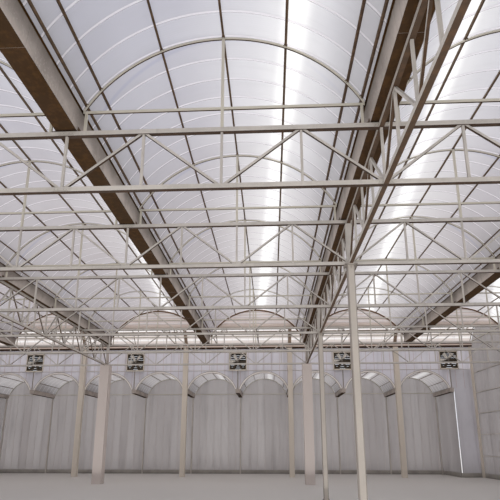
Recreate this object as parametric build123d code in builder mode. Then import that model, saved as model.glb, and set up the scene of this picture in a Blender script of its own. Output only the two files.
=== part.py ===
from build123d import *
import math
import os

# Multi-span arched greenhouse in sheet on a steel frame: a tall hall of six
# vaults, a cross corridor with a vault of its own, a partition with five
# exhaust fans, and the first bay of a lower section of nine small vaults.
# Origin: middle of the plan at floor level. +Y runs from the front gable to
# the low section, +X is to the right of someone looking that way, +Z is up.

# Hall plan
vault_pitch = 6400.0
vault_count = 6
bay_length = 4200.0
bay_count = 7
corridor_depth = 6400.0

# Levels of the hall frame above the floor
bottom_chord_underside = 7200.0
truss_depth = 1370.0
gutter_depth = 490.0
arch_rise = 1724.0

# Sections of the hall frame
chord_size = 100.0
web_size = 50.0
arch_size = 40.0
king_post = 60.0
frame_thickness = 50.0
tie_size = 50.0
foot_post_inset = 60.0
purlin_size = 45.0
purlin_offsets = (0.0, 1330.0, 2585.0, 2860.0)
seat_clearance = 0.3
sheet_thickness = 16.0
bend_limit = 15.0

# Gutters of the hall
gutter_top_width = 600.0
gutter_bottom_width = 440.0
gutter_lip = 40.0
gutter_sheet = 8.0

# Columns
hall_column = 200.0
end_column = 570.0
end_column_stub = 150.0
stub_clearance = 10.0
side_column = 150.0
column_plate = 20.0
column_plate_margin = 80.0
prop_rows_right = (3, 5)
prop_rows_left = (3,)

# Outer walls
rail_thickness = 50.0
rail_height = 60.0
rail_spacing = 1500.0
kerb_height = 300.0
kerb_width = 180.0
door_width = 3600.0
door_height = 3600.0
door_leaf = 40.0
door_lap = 50.0
door_floor_gap = 10.0
track_height = 80.0
track_depth = 60.0

# Corridor
corridor_gutter_underside = 9500.0
corridor_gutter_depth = 350.0
near_gutter_depth = 150.0
corridor_gutter_width = 400.0
corridor_gutter_setback = 100.0
corridor_arch_rise = 1500.0
corridor_arch_spacing = 3200.0
corridor_rib_width = 250.0
corridor_purlin_offsets = (0.0, 1150.0, 2150.0)

# Partition between the corridor and the low section
partition_frame_depth = 60.0
partition_rail_height = 40.0
partition_post_width = 80.0
partition_column = 360.0
panel_joint = 4.0

# Low section
low_pitch = 4000.0
low_count = 9
low_left_margin = 800.0
low_bay = 3600.0
low_gutter_top = 6400.0
low_gutter_depth = 300.0
low_gutter_top_width = 400.0
low_gutter_bottom_width = 300.0
low_gutter_lip = 30.0
low_gutter_sheet = 6.0
low_arch_rise = 1250.0
low_arch_size = 50.0
low_purlin_size = 35.0
low_purlin_offsets = (0.0, 800.0, 1550.0)
low_sheet = 10.0
low_post = 100.0
ring_depth = 150.0
ring_lap = 40.0

# Exhaust fans
fan_size = 1380.0
fan_depth = 400.0
fan_wall = 25.0
venturi_bore_radius = 645.0
venturi_plate = 30.0
rotor_radius = 625.0
blade_count = 6
blade_root_radius = 90.0
blade_thickness = 6.0
blade_pitch_angle = 32.0
blade_root_chord = 170.0
blade_tip_chord = 260.0
blade_camber = 0.09
hub_radius = 110.0
hub_length = 110.0
hub_sides = 18
hub_chamfer = 12.0
shaft_radius = 20.0
shaft_play = 0.1
shaft_reach = 90.0
motor_radius = 95.0
motor_length = 190.0
motor_rail = 40.0
rotor_gap = 30.0
fan_fit = 0.5
fan_sill = 30.0
inlet_sides = 32
motor_sides = 16

# Worked out from the sizes above
half_width = vault_pitch * vault_count / 2
building_length = bay_length * bay_count + corridor_depth + low_bay
front_line = -building_length / 2
row_lines = [front_line + bay_length * row for row in range(bay_count + 1)]
hall_end = row_lines[-1]
partition_line = hall_end + corridor_depth
back_line = partition_line + low_bay
gutter_lines = [-half_width + vault_pitch * k for k in range(vault_count + 1)]
vault_centres = [line + vault_pitch / 2 for line in gutter_lines[:-1]]
right_girder_line = gutter_lines[4]
left_girder_line = gutter_lines[2]

chord_half = chord_size / 2
bottom_chord_level = bottom_chord_underside + chord_half
top_chord_top = bottom_chord_underside + truss_depth
top_chord_level = top_chord_top - chord_half
gutter_top = top_chord_top + gutter_depth
arch_half_span = vault_pitch / 2 - gutter_top_width / 2


def radius_of(half_span, rise):
    """Radius of a circular arch from its half span and rise."""
    return (half_span ** 2 + rise ** 2) / (2 * rise)


def leans_of(offsets, radius):
    """Angles from upright of purlins at these offsets, on both sides."""
    leans = []
    for offset in offsets:
        lean = math.degrees(math.asin(offset / radius))
        leans += [0.0] if offset == 0 else [-lean, lean]
    return leans


def flats_of(leans, half_span, radius):
    """Angles from upright of the flats that an arch and its sheet are bent in.

    There is a flat under each purlin, and more between them where the turn
    from one to the next would pass the bend limit.
    """
    stops = sorted(lean for lean in leans if lean >= 0)
    foot = math.degrees(math.asin(half_span / radius))
    if foot - stops[-1] > bend_limit / 2:
        stops.append(foot)
    right = stops[:1]
    for low, high in zip(stops, stops[1:]):
        steps = math.ceil((high - low) / bend_limit)
        right += [low + (high - low) * k / steps for k in range(1, steps + 1)]
    return [-lean for lean in reversed(right[1:])] + right


arch_radius = radius_of(arch_half_span, arch_rise)
arch_centre_level = gutter_top + arch_rise - arch_radius
arch_outer = arch_radius + arch_size / 2
skin_inner = arch_outer + purlin_size + seat_clearance
skin_outer = skin_inner + sheet_thickness
purlin_ring = arch_outer + purlin_size / 2
hall_leans = leans_of(purlin_offsets, purlin_ring)
hall_flats = flats_of(hall_leans, arch_half_span, arch_radius)

corridor_gutter_top = corridor_gutter_underside + corridor_gutter_depth
near_gutter_underside = corridor_gutter_top - near_gutter_depth
near_gutter_start = hall_end + frame_thickness / 2
near_gutter_end = near_gutter_start + corridor_gutter_width
far_gutter_end = partition_line + corridor_gutter_setback
far_gutter_start = far_gutter_end - corridor_gutter_width
corridor_centre = (near_gutter_end + far_gutter_start) / 2
corridor_half_span = (far_gutter_start - near_gutter_end) / 2
corridor_radius = radius_of(corridor_half_span, corridor_arch_rise)
corridor_centre_level = corridor_gutter_top + corridor_arch_rise - corridor_radius
corridor_outer = corridor_radius + arch_size / 2
corridor_skin_inner = corridor_outer + purlin_size + seat_clearance
corridor_skin_outer = corridor_skin_inner + sheet_thickness
corridor_ring = corridor_outer + purlin_size / 2
corridor_leans = leans_of(corridor_purlin_offsets, corridor_ring)
corridor_flats = flats_of(corridor_leans, corridor_half_span, corridor_radius)

side_rail_start = half_width + side_column / 2
side_sheet_start = side_rail_start + rail_thickness
side_sheet_end = side_sheet_start + sheet_thickness
front_sheet_back = front_line - chord_half - rail_thickness
front_sheet_face = front_sheet_back - sheet_thickness

low_start = -half_width + low_left_margin
low_valleys = [low_start + low_pitch * k for k in range(low_count + 1)]
low_end = low_valleys[-1]
low_centres = [valley + low_pitch / 2 for valley in low_valleys[:-1]]
low_half_span = low_pitch / 2 - low_gutter_top_width / 2
low_radius = radius_of(low_half_span, low_arch_rise)
low_centre_level = low_gutter_top + low_arch_rise - low_radius
low_outer = low_radius + low_arch_size / 2
low_skin_inner = low_outer + low_purlin_size + seat_clearance
low_skin_outer = low_skin_inner + low_sheet
low_ring = low_outer + low_purlin_size / 2
low_leans = leans_of(low_purlin_offsets, low_ring)
low_flats = flats_of(low_leans, low_half_span, low_radius)
low_gutter_underside = low_gutter_top - low_gutter_depth
spandrel_cut = low_skin_outer + seat_clearance
ring_outer = spandrel_cut + ring_lap
ring_inner = ring_outer - ring_depth

fan_valleys = low_valleys[1::2]
column_valleys = low_valleys[0::2]
fan_bottom = low_centre_level + ring_outer + partition_rail_height + fan_sill
fan_level = fan_bottom + fan_size / 2
lower_rail_bottom = fan_bottom - partition_rail_height
upper_rail_bottom = fan_bottom + fan_size
upper_rail_top = upper_rail_bottom + partition_rail_height
partition_front = partition_line - partition_frame_depth
fan_front = partition_line - partition_rail_height
rotor_plane = fan_front + venturi_plate + rotor_gap + hub_length / 2


def across(y):
    """Upright plane square to the vaults, at y along the building."""
    return Plane(origin=(0, y, 0), x_dir=(1, 0, 0), z_dir=(0, -1, 0))


def along(x):
    """Upright plane in line with the vaults, at x across the building."""
    return Plane(origin=(x, 0, 0), x_dir=(0, 1, 0), z_dir=(1, 0, 0))


def sketch_bar(start, end, width):
    """A straight bar of the given width in the current sketch."""
    run = end[0] - start[0]
    climb = end[1] - start[1]
    with Locations(((start[0] + end[0]) / 2, (start[1] + end[1]) / 2)):
        Rectangle(math.hypot(run, climb), width, rotation=math.degrees(math.atan2(climb, run)))


def sketch_block(low, high, mode=Mode.ADD):
    """A rectangle in the current sketch from its low and high corners."""
    with Locations(((low[0] + high[0]) / 2, (low[1] + high[1]) / 2)):
        Rectangle(high[0] - low[0], high[1] - low[1], mode=mode)


def bent_line(centre, flats, radius, level):
    """Points of a line bent in flats round a circle, up from level and back."""
    feet = []
    for angle in (flats[0], flats[-1]):
        lean = math.radians(angle)
        reach = (radius - (level - centre[1]) * math.cos(lean)) / math.sin(lean)
        feet.append((centre[0] + reach, level))
    bends = []
    for low, high in zip(flats, flats[1:]):
        lean = math.radians((low + high) / 2)
        bend = radius / math.cos(math.radians((high - low) / 2))
        bends.append((centre[0] + bend * math.sin(lean), centre[1] + bend * math.cos(lean)))
    return [feet[0]] + bends + [feet[1]]


def sketch_band(centre, flats, inner, outer, level):
    """A bent band between two radii in the current sketch, down to level."""
    over = bent_line(centre, flats, outer, level)
    under = bent_line(centre, flats, inner, level)
    Polygon(*over, *reversed(under), align=None)


def sketch_head(centre, flats, radius, level, mode=Mode.ADD):
    """All that lies under a bent line, down to level, in the current sketch."""
    Polygon(*bent_line(centre, flats, radius, level), align=None, mode=mode)


def sketch_purlins(centre, leans, ring, size):
    """Square purlins on the flats of an arch, in the current sketch."""
    for lean in leans:
        place = (
            centre[0] + ring * math.sin(math.radians(lean)),
            centre[1] + ring * math.cos(math.radians(lean)),
        )
        with Locations(place):
            Rectangle(size, size, rotation=-lean)


def block(low, high):
    """A box in the current part from its low and high corners."""
    with Locations([tuple((a + b) / 2 for a, b in zip(low, high))]):
        Box(*(b - a for a, b in zip(low, high)))


def channel_outline(line, width_top, width_bottom, bottom, top, lip):
    """Outline of a gutter channel: sloping sides with a flat lip each side."""
    half_top = width_top / 2
    half_bottom = width_bottom / 2
    mouth = half_top - lip
    return [
        (line - half_bottom, bottom),
        (line + half_bottom, bottom),
        (line + mouth, top - gutter_sheet),
        (line + half_top, top - gutter_sheet),
        (line + half_top, top),
        (line - half_top, top),
        (line - half_top, top - gutter_sheet),
        (line - mouth, top - gutter_sheet),
    ]


written = []


def save(part, name):
    """Label a finished piece and write it under its own name."""
    part.label = name
    export_step(part, "parts/" + name + ".step")
    written.append((name, part))


os.makedirs("parts", exist_ok=True)


# Lattice trusses across the hall, one for each row
def truss_row(y):
    """Two chords with posts and diagonals, from side column to side column."""
    reach = half_width - side_column / 2
    panel = vault_pitch / 4
    panel_count = vault_count * 4
    with BuildPart() as truss:
        with BuildSketch(across(y)) as chords:
            for level in (bottom_chord_level, top_chord_level):
                sketch_block((-reach, level - chord_half), (reach, level + chord_half))
        extrude(amount=chord_half, both=True)
        with BuildSketch(across(y)) as webs:
            for k in range(1, panel_count):
                x = -half_width + panel * k
                sketch_bar((x, bottom_chord_level), (x, top_chord_level), web_size)
            for k in range(0, panel_count, 2):
                foot = -half_width + panel * k
                head = foot + panel
                next_foot = head + panel
                sketch_bar((foot, bottom_chord_level), (head, top_chord_level), web_size)
                sketch_bar((head, top_chord_level), (next_foot, bottom_chord_level), web_size)
            sketch_block(
                (-reach, bottom_chord_level),
                (reach, top_chord_level),
                mode=Mode.INTERSECT,
            )
        extrude(amount=frame_thickness / 2, both=True)
    return truss.part


def copies_at(part, places):
    """Copies of a part moved along Y to each place, in one piece of work."""
    with BuildPart() as group:
        add([part.moved(Location((0, y, 0))) for y in places])
    return group.part


one_truss = truss_row(0.0)
for number in range(1, (bay_count + 1) // 2 + 1):
    pair = row_lines[2 * number - 2:2 * number]
    save(copies_at(one_truss, pair), f"truss_pair_{number}")


# Lattice girders under two of the gutters, one length for each bay
def girder_bay():
    """Girder of one bay with posts and diagonals, in line with a gutter."""
    quarter = bay_length / 4
    start = chord_half
    end = bay_length - chord_half
    with BuildPart() as girder:
        with BuildSketch(along(0.0)):
            for level in (bottom_chord_level, top_chord_level):
                sketch_block((start, level - chord_half), (end, level + chord_half))
        extrude(amount=chord_half, both=True)
        with BuildSketch(along(0.0)):
            for k in (1, 2, 3):
                place = quarter * k
                sketch_bar((place, bottom_chord_level), (place, top_chord_level), web_size)
            for k in (0, 2):
                foot = (quarter * k, bottom_chord_level)
                head = (quarter * (k + 1), top_chord_level)
                next_foot = (quarter * (k + 2), bottom_chord_level)
                sketch_bar(foot, head, web_size)
                sketch_bar(head, next_foot, web_size)
            sketch_block(
                (start, bottom_chord_level),
                (end, top_chord_level),
                mode=Mode.INTERSECT,
            )
        extrude(amount=frame_thickness / 2, both=True)
    return girder.part


one_girder = girder_bay()
with BuildPart() as girders:
    for line in (left_girder_line, right_girder_line):
        add([one_girder.moved(Location((line, y, 0))) for y in row_lines[:-1]])
save(girders.part, "gutter_girders")


# Roof arches with their ties and king posts, on every truss
def arch_frame(x, y):
    """Arch on the gutter lips, tied across and propped from the truss."""
    centre = (x, arch_centre_level)
    king_top = arch_centre_level + arch_radius
    foot_post = arch_half_span - foot_post_inset
    with BuildPart() as frame:
        with BuildSketch(across(y)):
            sketch_band(centre, hall_flats, arch_radius - arch_size / 2, arch_outer, gutter_top)
            sketch_block(
                (x - arch_half_span, gutter_top - tie_size),
                (x + arch_half_span, gutter_top),
            )
            sketch_block((x - king_post / 2, top_chord_top), (x + king_post / 2, king_top))
            for side in (-1, 1):
                middle = x + side * foot_post
                sketch_block(
                    (middle - tie_size / 2, top_chord_top),
                    (middle + tie_size / 2, gutter_top - tie_size),
                )
        extrude(amount=frame_thickness / 2, both=True)
    return frame.part


one_arch = arch_frame(0.0, 0.0)
side_words = ("left", "middle", "right")
vault_pairs = [vault_centres[0:2], vault_centres[2:4], vault_centres[4:6]]
for word, pair in zip(side_words, vault_pairs):
    with BuildPart() as arches:
        add([one_arch.moved(Location((x, y, 0))) for x in pair for y in row_lines])
    save(arches.part, word + "_arches")


# Purlins over the arches of the hall and of the corridor
with BuildPart() as purlins:
    with BuildSketch(across(near_gutter_start)):
        for x in vault_centres:
            sketch_purlins((x, arch_centre_level), hall_leans, purlin_ring, purlin_size)
    extrude(amount=near_gutter_start - front_sheet_back)
    with BuildSketch(along(-side_sheet_start)):
        centre = (corridor_centre, corridor_centre_level)
        sketch_purlins(centre, corridor_leans, corridor_ring, purlin_size)
    extrude(amount=2 * side_sheet_start)
save(purlins.part, "tall_roof_purlins")


# Curved roof sheet of each vault
def vault_skin(x):
    """Sheet bent over the purlins, with its edges in the gutter mouths."""
    with BuildPart() as skin:
        with BuildSketch(across(near_gutter_start)):
            centre = (x, arch_centre_level)
            sketch_band(centre, hall_flats, skin_inner, skin_outer, gutter_top)
        extrude(amount=near_gutter_start - front_sheet_face)
    return skin.part


one_skin = vault_skin(0.0)
for word, pair in zip(side_words, vault_pairs):
    with BuildPart() as skins:
        add([one_skin.moved(Location((x, 0, 0))) for x in pair])
    save(skins.part, word + "_roof_sheets")


# Gutters of the hall on the trusses, and along both sides of the corridor
with BuildPart() as gutters:
    gutter_start = front_line - chord_half
    with BuildSketch(across(near_gutter_start)):
        for line in gutter_lines:
            Polygon(
                *channel_outline(
                    line,
                    gutter_top_width,
                    gutter_bottom_width,
                    top_chord_top,
                    gutter_top,
                    gutter_lip,
                ),
                align=None,
            )
    extrude(amount=near_gutter_start - gutter_start)
    with BuildSketch(across(near_gutter_start - gutter_sheet)):
        for line in gutter_lines:
            mouth = gutter_top_width / 2 - gutter_lip - gutter_sheet
            trough = gutter_bottom_width / 2 - gutter_sheet
            Polygon(
                (line - trough, top_chord_top + gutter_sheet),
                (line + trough, top_chord_top + gutter_sheet),
                (line + mouth, gutter_top),
                (line - mouth, gutter_top),
                align=None,
            )
    extrude(amount=near_gutter_start - gutter_start - 2 * gutter_sheet, mode=Mode.SUBTRACT)
    sides = (
        (near_gutter_start, near_gutter_underside),
        (far_gutter_start, corridor_gutter_underside),
    )
    for start, underside in sides:
        end = start + corridor_gutter_width
        with BuildSketch(along(-side_sheet_start)):
            sketch_block((start, underside), (end, corridor_gutter_top))
            sketch_block(
                (start + gutter_sheet, underside + gutter_sheet),
                (end - gutter_sheet, corridor_gutter_top),
                mode=Mode.SUBTRACT,
            )
        extrude(amount=2 * side_sheet_start)
save(gutters.part, "tall_roof_gutters")


# Slender columns under the girders
def column_with_plates(x, y, size, top):
    """Square column with a base plate and a cap plate."""
    plate = size / 2 + column_plate_margin
    half = size / 2
    block((x - plate, y - plate, 0), (x + plate, y + plate, column_plate))
    block((x - half, y - half, column_plate), (x + half, y + half, top - column_plate))
    block((x - plate, y - plate, top - column_plate), (x + plate, y + plate, top))


with BuildPart() as props:
    for x, rows in ((right_girder_line, prop_rows_right), (left_girder_line, prop_rows_left)):
        for row in rows:
            column_with_plates(x, row_lines[row], hall_column, bottom_chord_underside)
save(props.part, "hall_columns")

# Broad columns on the last row, each with a stub up to the corridor gutter
with BuildPart() as end_columns:
    for x in (left_girder_line, right_girder_line):
        half = end_column / 2
        stub_start = hall_end + chord_half + stub_clearance
        block((x - half, hall_end - half, 0), (x + half, hall_end + half, bottom_chord_underside))
        block(
            (x - end_column_stub / 2, stub_start, bottom_chord_underside),
            (x + end_column_stub / 2, stub_start + end_column_stub, near_gutter_underside),
        )
save(end_columns.part, "end_row_columns")

# Columns in the side walls of the hall and of the corridor
with BuildPart() as side_columns:
    half = side_column / 2
    corner = front_line - chord_half + half
    for x in (-half_width, half_width):
        for y in [corner] + row_lines[1:]:
            block((x - half, y - half, 0), (x + half, y + half, top_chord_top))
        ends = (
            (hall_end + side_column, near_gutter_underside),
            (partition_front - half, corridor_gutter_underside),
        )
        for y, top in ends:
            block((x - half, y - half, 0), (x + half, y + half, top))
save(side_columns.part, "side_wall_columns")

# Posts of the front gable under the first truss, and of the low back wall
with BuildPart() as gable_posts:
    half = low_post / 2
    for x in low_valleys:
        block(
            (x - half, back_line - half, 0),
            (x + half, back_line + half, low_gutter_underside),
        )
    for line in gutter_lines[1:-1]:
        block(
            (line - chord_half, front_line - chord_half, 0),
            (line + chord_half, front_line + chord_half, bottom_chord_underside),
        )
save(gable_posts.part, "gable_posts")

# Front rails, stopped at the doorway where it is in their way
door_centre = vault_centres[3]
door_left = door_centre - door_width / 2
door_right = door_centre + door_width / 2
rail_count = int((gutter_top - rail_height) // rail_spacing)
rail_levels = [rail_spacing * k for k in range(1, rail_count + 1)]
with BuildPart() as front_rails:
    rail_front = front_line - chord_half - rail_thickness
    rail_back = front_line - chord_half
    for level in rail_levels:
        spans = [(-side_sheet_start, side_sheet_start)]
        if level - rail_height / 2 < door_height:
            spans = [(-side_sheet_start, door_left), (door_right, side_sheet_start)]
        for left, right in spans:
            block(
                (left, rail_front, level - rail_height / 2),
                (right, rail_back, level + rail_height / 2),
            )
    block(
        (-side_sheet_start, rail_front, gutter_top - rail_height),
        (side_sheet_start, rail_back, gutter_top),
    )
save(front_rails.part, "front_rails")

# Front sheet with the door opening and an arched head under each vault
with BuildPart() as front_sheet:
    with BuildSketch(across(front_sheet_back)):
        for x in vault_centres:
            centre = (x, arch_centre_level)
            sketch_head(centre, hall_flats, skin_inner - seat_clearance, gutter_top)
        sketch_block((-side_sheet_end, kerb_height), (side_sheet_end, gutter_top))
        sketch_block((door_left, 0), (door_right, door_height), mode=Mode.SUBTRACT)
    extrude(amount=sheet_thickness)
save(front_sheet.part, "front_wall_sheet")


# Closed doors on a track outside the front sheet
with BuildPart() as doors:
    door_back = front_sheet_face
    for side in (-1, 1):
        inner = door_centre + side * seat_clearance
        outer = door_centre + side * (door_width / 2 + door_lap)
        block(
            (min(inner, outer), door_back - door_leaf, door_floor_gap),
            (max(inner, outer), door_back, door_height + door_lap),
        )
save(doors.part, "front_door_leaves")

with BuildPart() as track:
    block(
        (door_centre - door_width - door_lap, door_back - track_depth, door_height + door_lap),
        (
            door_centre + door_width + door_lap,
            door_back,
            door_height + door_lap + track_height,
        ),
    )
save(track.part, "front_door_track")


# Side walls: rails outside the columns, then one sheet on each side, higher
# and with an arched head at the corridor
with BuildPart() as side_rails:
    for start in (-side_sheet_start, side_rail_start):
        for level in rail_levels[:-1]:
            block(
                (start, front_line - chord_half, level - rail_height / 2),
                (start + rail_thickness, partition_line, level + rail_height / 2),
            )
save(side_rails.part, "side_wall_rails")


with BuildPart() as side_sheets:
    for face in (-side_sheet_end, side_sheet_start):
        with BuildSketch(along(face)):
            sketch_head(
                (corridor_centre, corridor_centre_level),
                corridor_flats,
                corridor_skin_inner - seat_clearance,
                corridor_gutter_top,
            )
            sketch_block(
                (near_gutter_start, kerb_height),
                (partition_line + sheet_thickness, corridor_gutter_top),
            )
            sketch_block((front_sheet_back, kerb_height), (near_gutter_start, top_chord_top))
        extrude(amount=sheet_thickness)
save(side_sheets.part, "side_wall_sheets")


# Corridor arches with ties, and a broad rib over each column of the partition,
# under one curved sheet
def corridor_arch(x):
    """Tied arch between the lips of the corridor gutters."""
    with BuildPart() as frame:
        with BuildSketch(along(x)):
            sketch_band(
                (corridor_centre, corridor_centre_level),
                corridor_flats,
                corridor_radius - arch_size / 2,
                corridor_outer,
                corridor_gutter_top,
            )
            sketch_block(
                (near_gutter_end, corridor_gutter_top - tie_size),
                (far_gutter_start, corridor_gutter_top),
            )
        extrude(amount=frame_thickness / 2, both=True)
    return frame.part


corridor_arch_count = int(2 * half_width // corridor_arch_spacing) + 1
with BuildPart() as corridor_arches:
    for k in range(corridor_arch_count):
        add(corridor_arch(-half_width + corridor_arch_spacing * k))
    for x in column_valleys:
        with BuildSketch(along(x)):
            sketch_band(
                (corridor_centre, corridor_centre_level),
                corridor_flats,
                corridor_radius - arch_size / 2,
                corridor_outer,
                corridor_gutter_top,
            )
        extrude(amount=corridor_rib_width / 2, both=True)
save(corridor_arches.part, "corridor_arches")

with BuildPart() as corridor_skin:
    with BuildSketch(along(-side_sheet_end)):
        sketch_band(
            (corridor_centre, corridor_centre_level),
            corridor_flats,
            corridor_skin_inner,
            corridor_skin_outer,
            corridor_gutter_top,
        )
    extrude(amount=2 * side_sheet_end)
save(corridor_skin.part, "corridor_roof_sheet")

# Sheets that close the vault ends on the last row: the arched heads above the
# corridor gutter and the spandrels below it
with BuildPart() as vault_ends:
    for x in vault_centres:
        with BuildSketch(across(near_gutter_start)):
            sketch_head((x, arch_centre_level), hall_flats, skin_outer, gutter_top)
            sketch_block(
                (x - vault_pitch / 2, corridor_gutter_top),
                (x + vault_pitch / 2, arch_centre_level + 2 * skin_outer),
                mode=Mode.INTERSECT,
            )
        extrude(amount=-sheet_thickness)
    for line in gutter_lines[1:-1]:
        with BuildSketch(across(near_gutter_start)):
            sketch_block(
                (line - vault_pitch / 2, gutter_top),
                (line + vault_pitch / 2, near_gutter_underside),
            )
            for x in (line - vault_pitch / 2, line + vault_pitch / 2):
                centre = (x, arch_centre_level)
                cut = arch_outer + purlin_size
                sketch_head(centre, hall_flats, cut, gutter_top, mode=Mode.SUBTRACT)
        extrude(amount=-sheet_thickness)
save(vault_ends.part, "vault_end_sheets")

# Columns of the partition, in front of every second valley of the low section
with BuildPart() as partition_columns:
    half = partition_column / 2
    for x in column_valleys:
        block(
            (x - half, partition_front - partition_column, 0),
            (x + half, partition_front, corridor_gutter_underside),
        )
save(partition_columns.part, "partition_columns")

# Rails and posts of the partition
with BuildPart() as partition_rails:
    for level in (lower_rail_bottom, upper_rail_bottom):
        block(
            (-side_sheet_start, partition_front, level),
            (side_sheet_start, partition_line + sheet_thickness, level + partition_rail_height),
        )
save(partition_rails.part, "partition_rails")

with BuildPart() as partition_posts:
    half = partition_post_width / 2
    for x in low_valleys:
        block(
            (x - half, partition_front, low_gutter_top),
            (x + half, partition_line, lower_rail_bottom),
        )
    for x in column_valleys:
        block((x - half, partition_front, fan_bottom), (x + half, partition_line, upper_rail_bottom))
save(partition_posts.part, "partition_posts")

# Sheets of the partition: above the fans, between them, beside the low
# section down to the kerb, and the spandrels between the arched openings
with BuildPart() as partition_sheets:
    back = partition_line + sheet_thickness
    block(
        (-side_sheet_start, partition_line, upper_rail_top),
        (side_sheet_start, back, corridor_gutter_underside),
    )
    half_fan = fan_size / 2 + fan_fit
    starts = [-side_sheet_start] + [x + half_fan for x in fan_valleys]
    ends = [x - half_fan for x in fan_valleys] + [side_sheet_start]
    for start, end in zip(starts, ends):
        if end - start > panel_joint:
            block((start, partition_line, fan_bottom), (end, back, upper_rail_bottom))
    gap = low_gutter_top_width / 2
    strip_top = low_gutter_top - seat_clearance
    block((-side_sheet_start, partition_line, kerb_height), (low_start - gap, back, strip_top))
    block((low_end + gap, partition_line, kerb_height), (side_sheet_start, back, strip_top))
save(partition_sheets.part, "partition_sheets")

with BuildPart() as spandrels:
    for k, valley in enumerate(low_valleys):
        left = valley - low_pitch / 2 + panel_joint / 2
        right = valley + low_pitch / 2 - panel_joint / 2
        bottom = low_gutter_top
        if k == 0:
            left = -side_sheet_start
        if k == low_count:
            right = side_sheet_start
        with BuildSketch(across(partition_line)):
            sketch_block((left, bottom), (right, lower_rail_bottom))
            for x in (valley - low_pitch / 2, valley + low_pitch / 2):
                if low_start < x < low_end:
                    centre = (x, low_centre_level)
                    sketch_head(centre, low_flats, spandrel_cut, bottom, mode=Mode.SUBTRACT)
        extrude(amount=-sheet_thickness)
save(spandrels.part, "partition_spandrels")

# Broad arched trims round the openings of the partition
with BuildPart() as rings:
    for x in low_centres:
        with BuildSketch(across(partition_line)):
            centre = (x, low_centre_level)
            sketch_band(centre, low_flats, ring_inner, ring_outer, low_gutter_top)
            sketch_block(
                (x - low_pitch / 2 + partition_post_width / 2, low_gutter_top),
                (x + low_pitch / 2 - partition_post_width / 2, low_centre_level + 2 * ring_outer),
                mode=Mode.INTERSECT,
            )
        extrude(amount=partition_frame_depth)
save(rings.part, "partition_arch_trims")

# Low section: gutters, arches, purlins and roof sheets
with BuildPart() as low_gutters:
    low_gutter_start = partition_front
    low_gutter_end = back_line + low_post / 2
    with BuildSketch(across(low_gutter_end)):
        for line in low_valleys:
            Polygon(
                *channel_outline(
                    line,
                    low_gutter_top_width,
                    low_gutter_bottom_width,
                    low_gutter_underside,
                    low_gutter_top,
                    low_gutter_lip,
                ),
                align=None,
            )
    extrude(amount=low_gutter_end - low_gutter_start)
    with BuildSketch(across(low_gutter_end - low_gutter_sheet)):
        for line in low_valleys:
            mouth = low_gutter_top_width / 2 - low_gutter_lip - low_gutter_sheet
            trough = low_gutter_bottom_width / 2 - low_gutter_sheet
            Polygon(
                (line - trough, low_gutter_underside + low_gutter_sheet),
                (line + trough, low_gutter_underside + low_gutter_sheet),
                (line + mouth, low_gutter_top),
                (line - mouth, low_gutter_top),
                align=None,
            )
    extrude(
        amount=low_gutter_end - partition_line - sheet_thickness - 2 * low_gutter_sheet,
        mode=Mode.SUBTRACT,
    )
save(low_gutters.part, "low_gutters")

with BuildPart() as low_arches:
    for x in low_centres:
        with BuildSketch(across(back_line)):
            sketch_band(
                (x, low_centre_level),
                low_flats,
                low_radius - low_arch_size / 2,
                low_outer,
                low_gutter_top,
            )
            sketch_block(
                (x - low_half_span, low_gutter_top - tie_size),
                (x + low_half_span, low_gutter_top),
            )
        extrude(amount=frame_thickness / 2, both=True)
save(low_arches.part, "low_arches")

low_sheet_back = back_line + low_post / 2
with BuildPart() as low_purlins:
    with BuildSketch(across(low_sheet_back)):
        for x in low_centres:
            sketch_purlins((x, low_centre_level), low_leans, low_ring, low_purlin_size)
    extrude(amount=low_sheet_back - partition_line)
save(low_purlins.part, "low_purlins")

with BuildPart() as low_roof:
    for x in low_centres:
        with BuildSketch(across(low_sheet_back + sheet_thickness)):
            centre = (x, low_centre_level)
            sketch_band(centre, low_flats, low_skin_inner, low_skin_outer, low_gutter_top)
        extrude(amount=low_sheet_back + sheet_thickness - partition_line)
save(low_roof.part, "low_roof_sheets")

# Low section: outer sheets
with BuildPart() as back_sheet:
    with BuildSketch(across(low_sheet_back + sheet_thickness)):
        for x in low_centres:
            centre = (x, low_centre_level)
            sketch_head(centre, low_flats, low_skin_inner - seat_clearance, low_gutter_top)
        sketch_block(
            (low_start - low_gutter_bottom_width / 2, kerb_height),
            (low_end + low_gutter_bottom_width / 2, low_gutter_top),
        )
    extrude(amount=sheet_thickness)
save(back_sheet.part, "back_wall_sheet")

with BuildPart() as low_side_sheets:
    half_bottom = low_gutter_bottom_width / 2
    for start in (low_start - half_bottom, low_end + half_bottom - sheet_thickness):
        block(
            (start, partition_line + sheet_thickness, kerb_height),
            (start + sheet_thickness, low_sheet_back, low_gutter_underside),
        )
save(low_side_sheets.part, "low_side_sheets")

# Concrete kerb under every outer sheet
with BuildPart() as kerb:
    outer_x = side_rail_start + kerb_width
    front_y = front_line - chord_half
    block((-outer_x, front_y - kerb_width, 0), (door_left - door_lap, front_y, kerb_height))
    block((door_right + door_lap, front_y - kerb_width, 0), (outer_x, front_y, kerb_height))
    for side in (-1, 1):
        inner = side * side_rail_start
        outer = side * outer_x
        block(
            (min(inner, outer), front_y, 0),
            (max(inner, outer), partition_line + kerb_width, kerb_height),
        )
    half_bottom = low_gutter_bottom_width / 2
    low_left = low_start - half_bottom - kerb_width / 2
    low_right = low_end + half_bottom + kerb_width / 2
    block((-outer_x, partition_line, 0), (low_left, partition_line + kerb_width, kerb_height))
    block((low_right, partition_line, 0), (outer_x, partition_line + kerb_width, kerb_height))
    for start in (low_left, low_right - kerb_width):
        block(
            (start, partition_line, 0),
            (start + kerb_width, low_sheet_back + kerb_width, kerb_height),
        )
    block(
        (low_left, low_sheet_back, 0),
        (low_right, low_sheet_back + kerb_width, kerb_height),
    )
save(kerb.part, "kerb")


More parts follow.
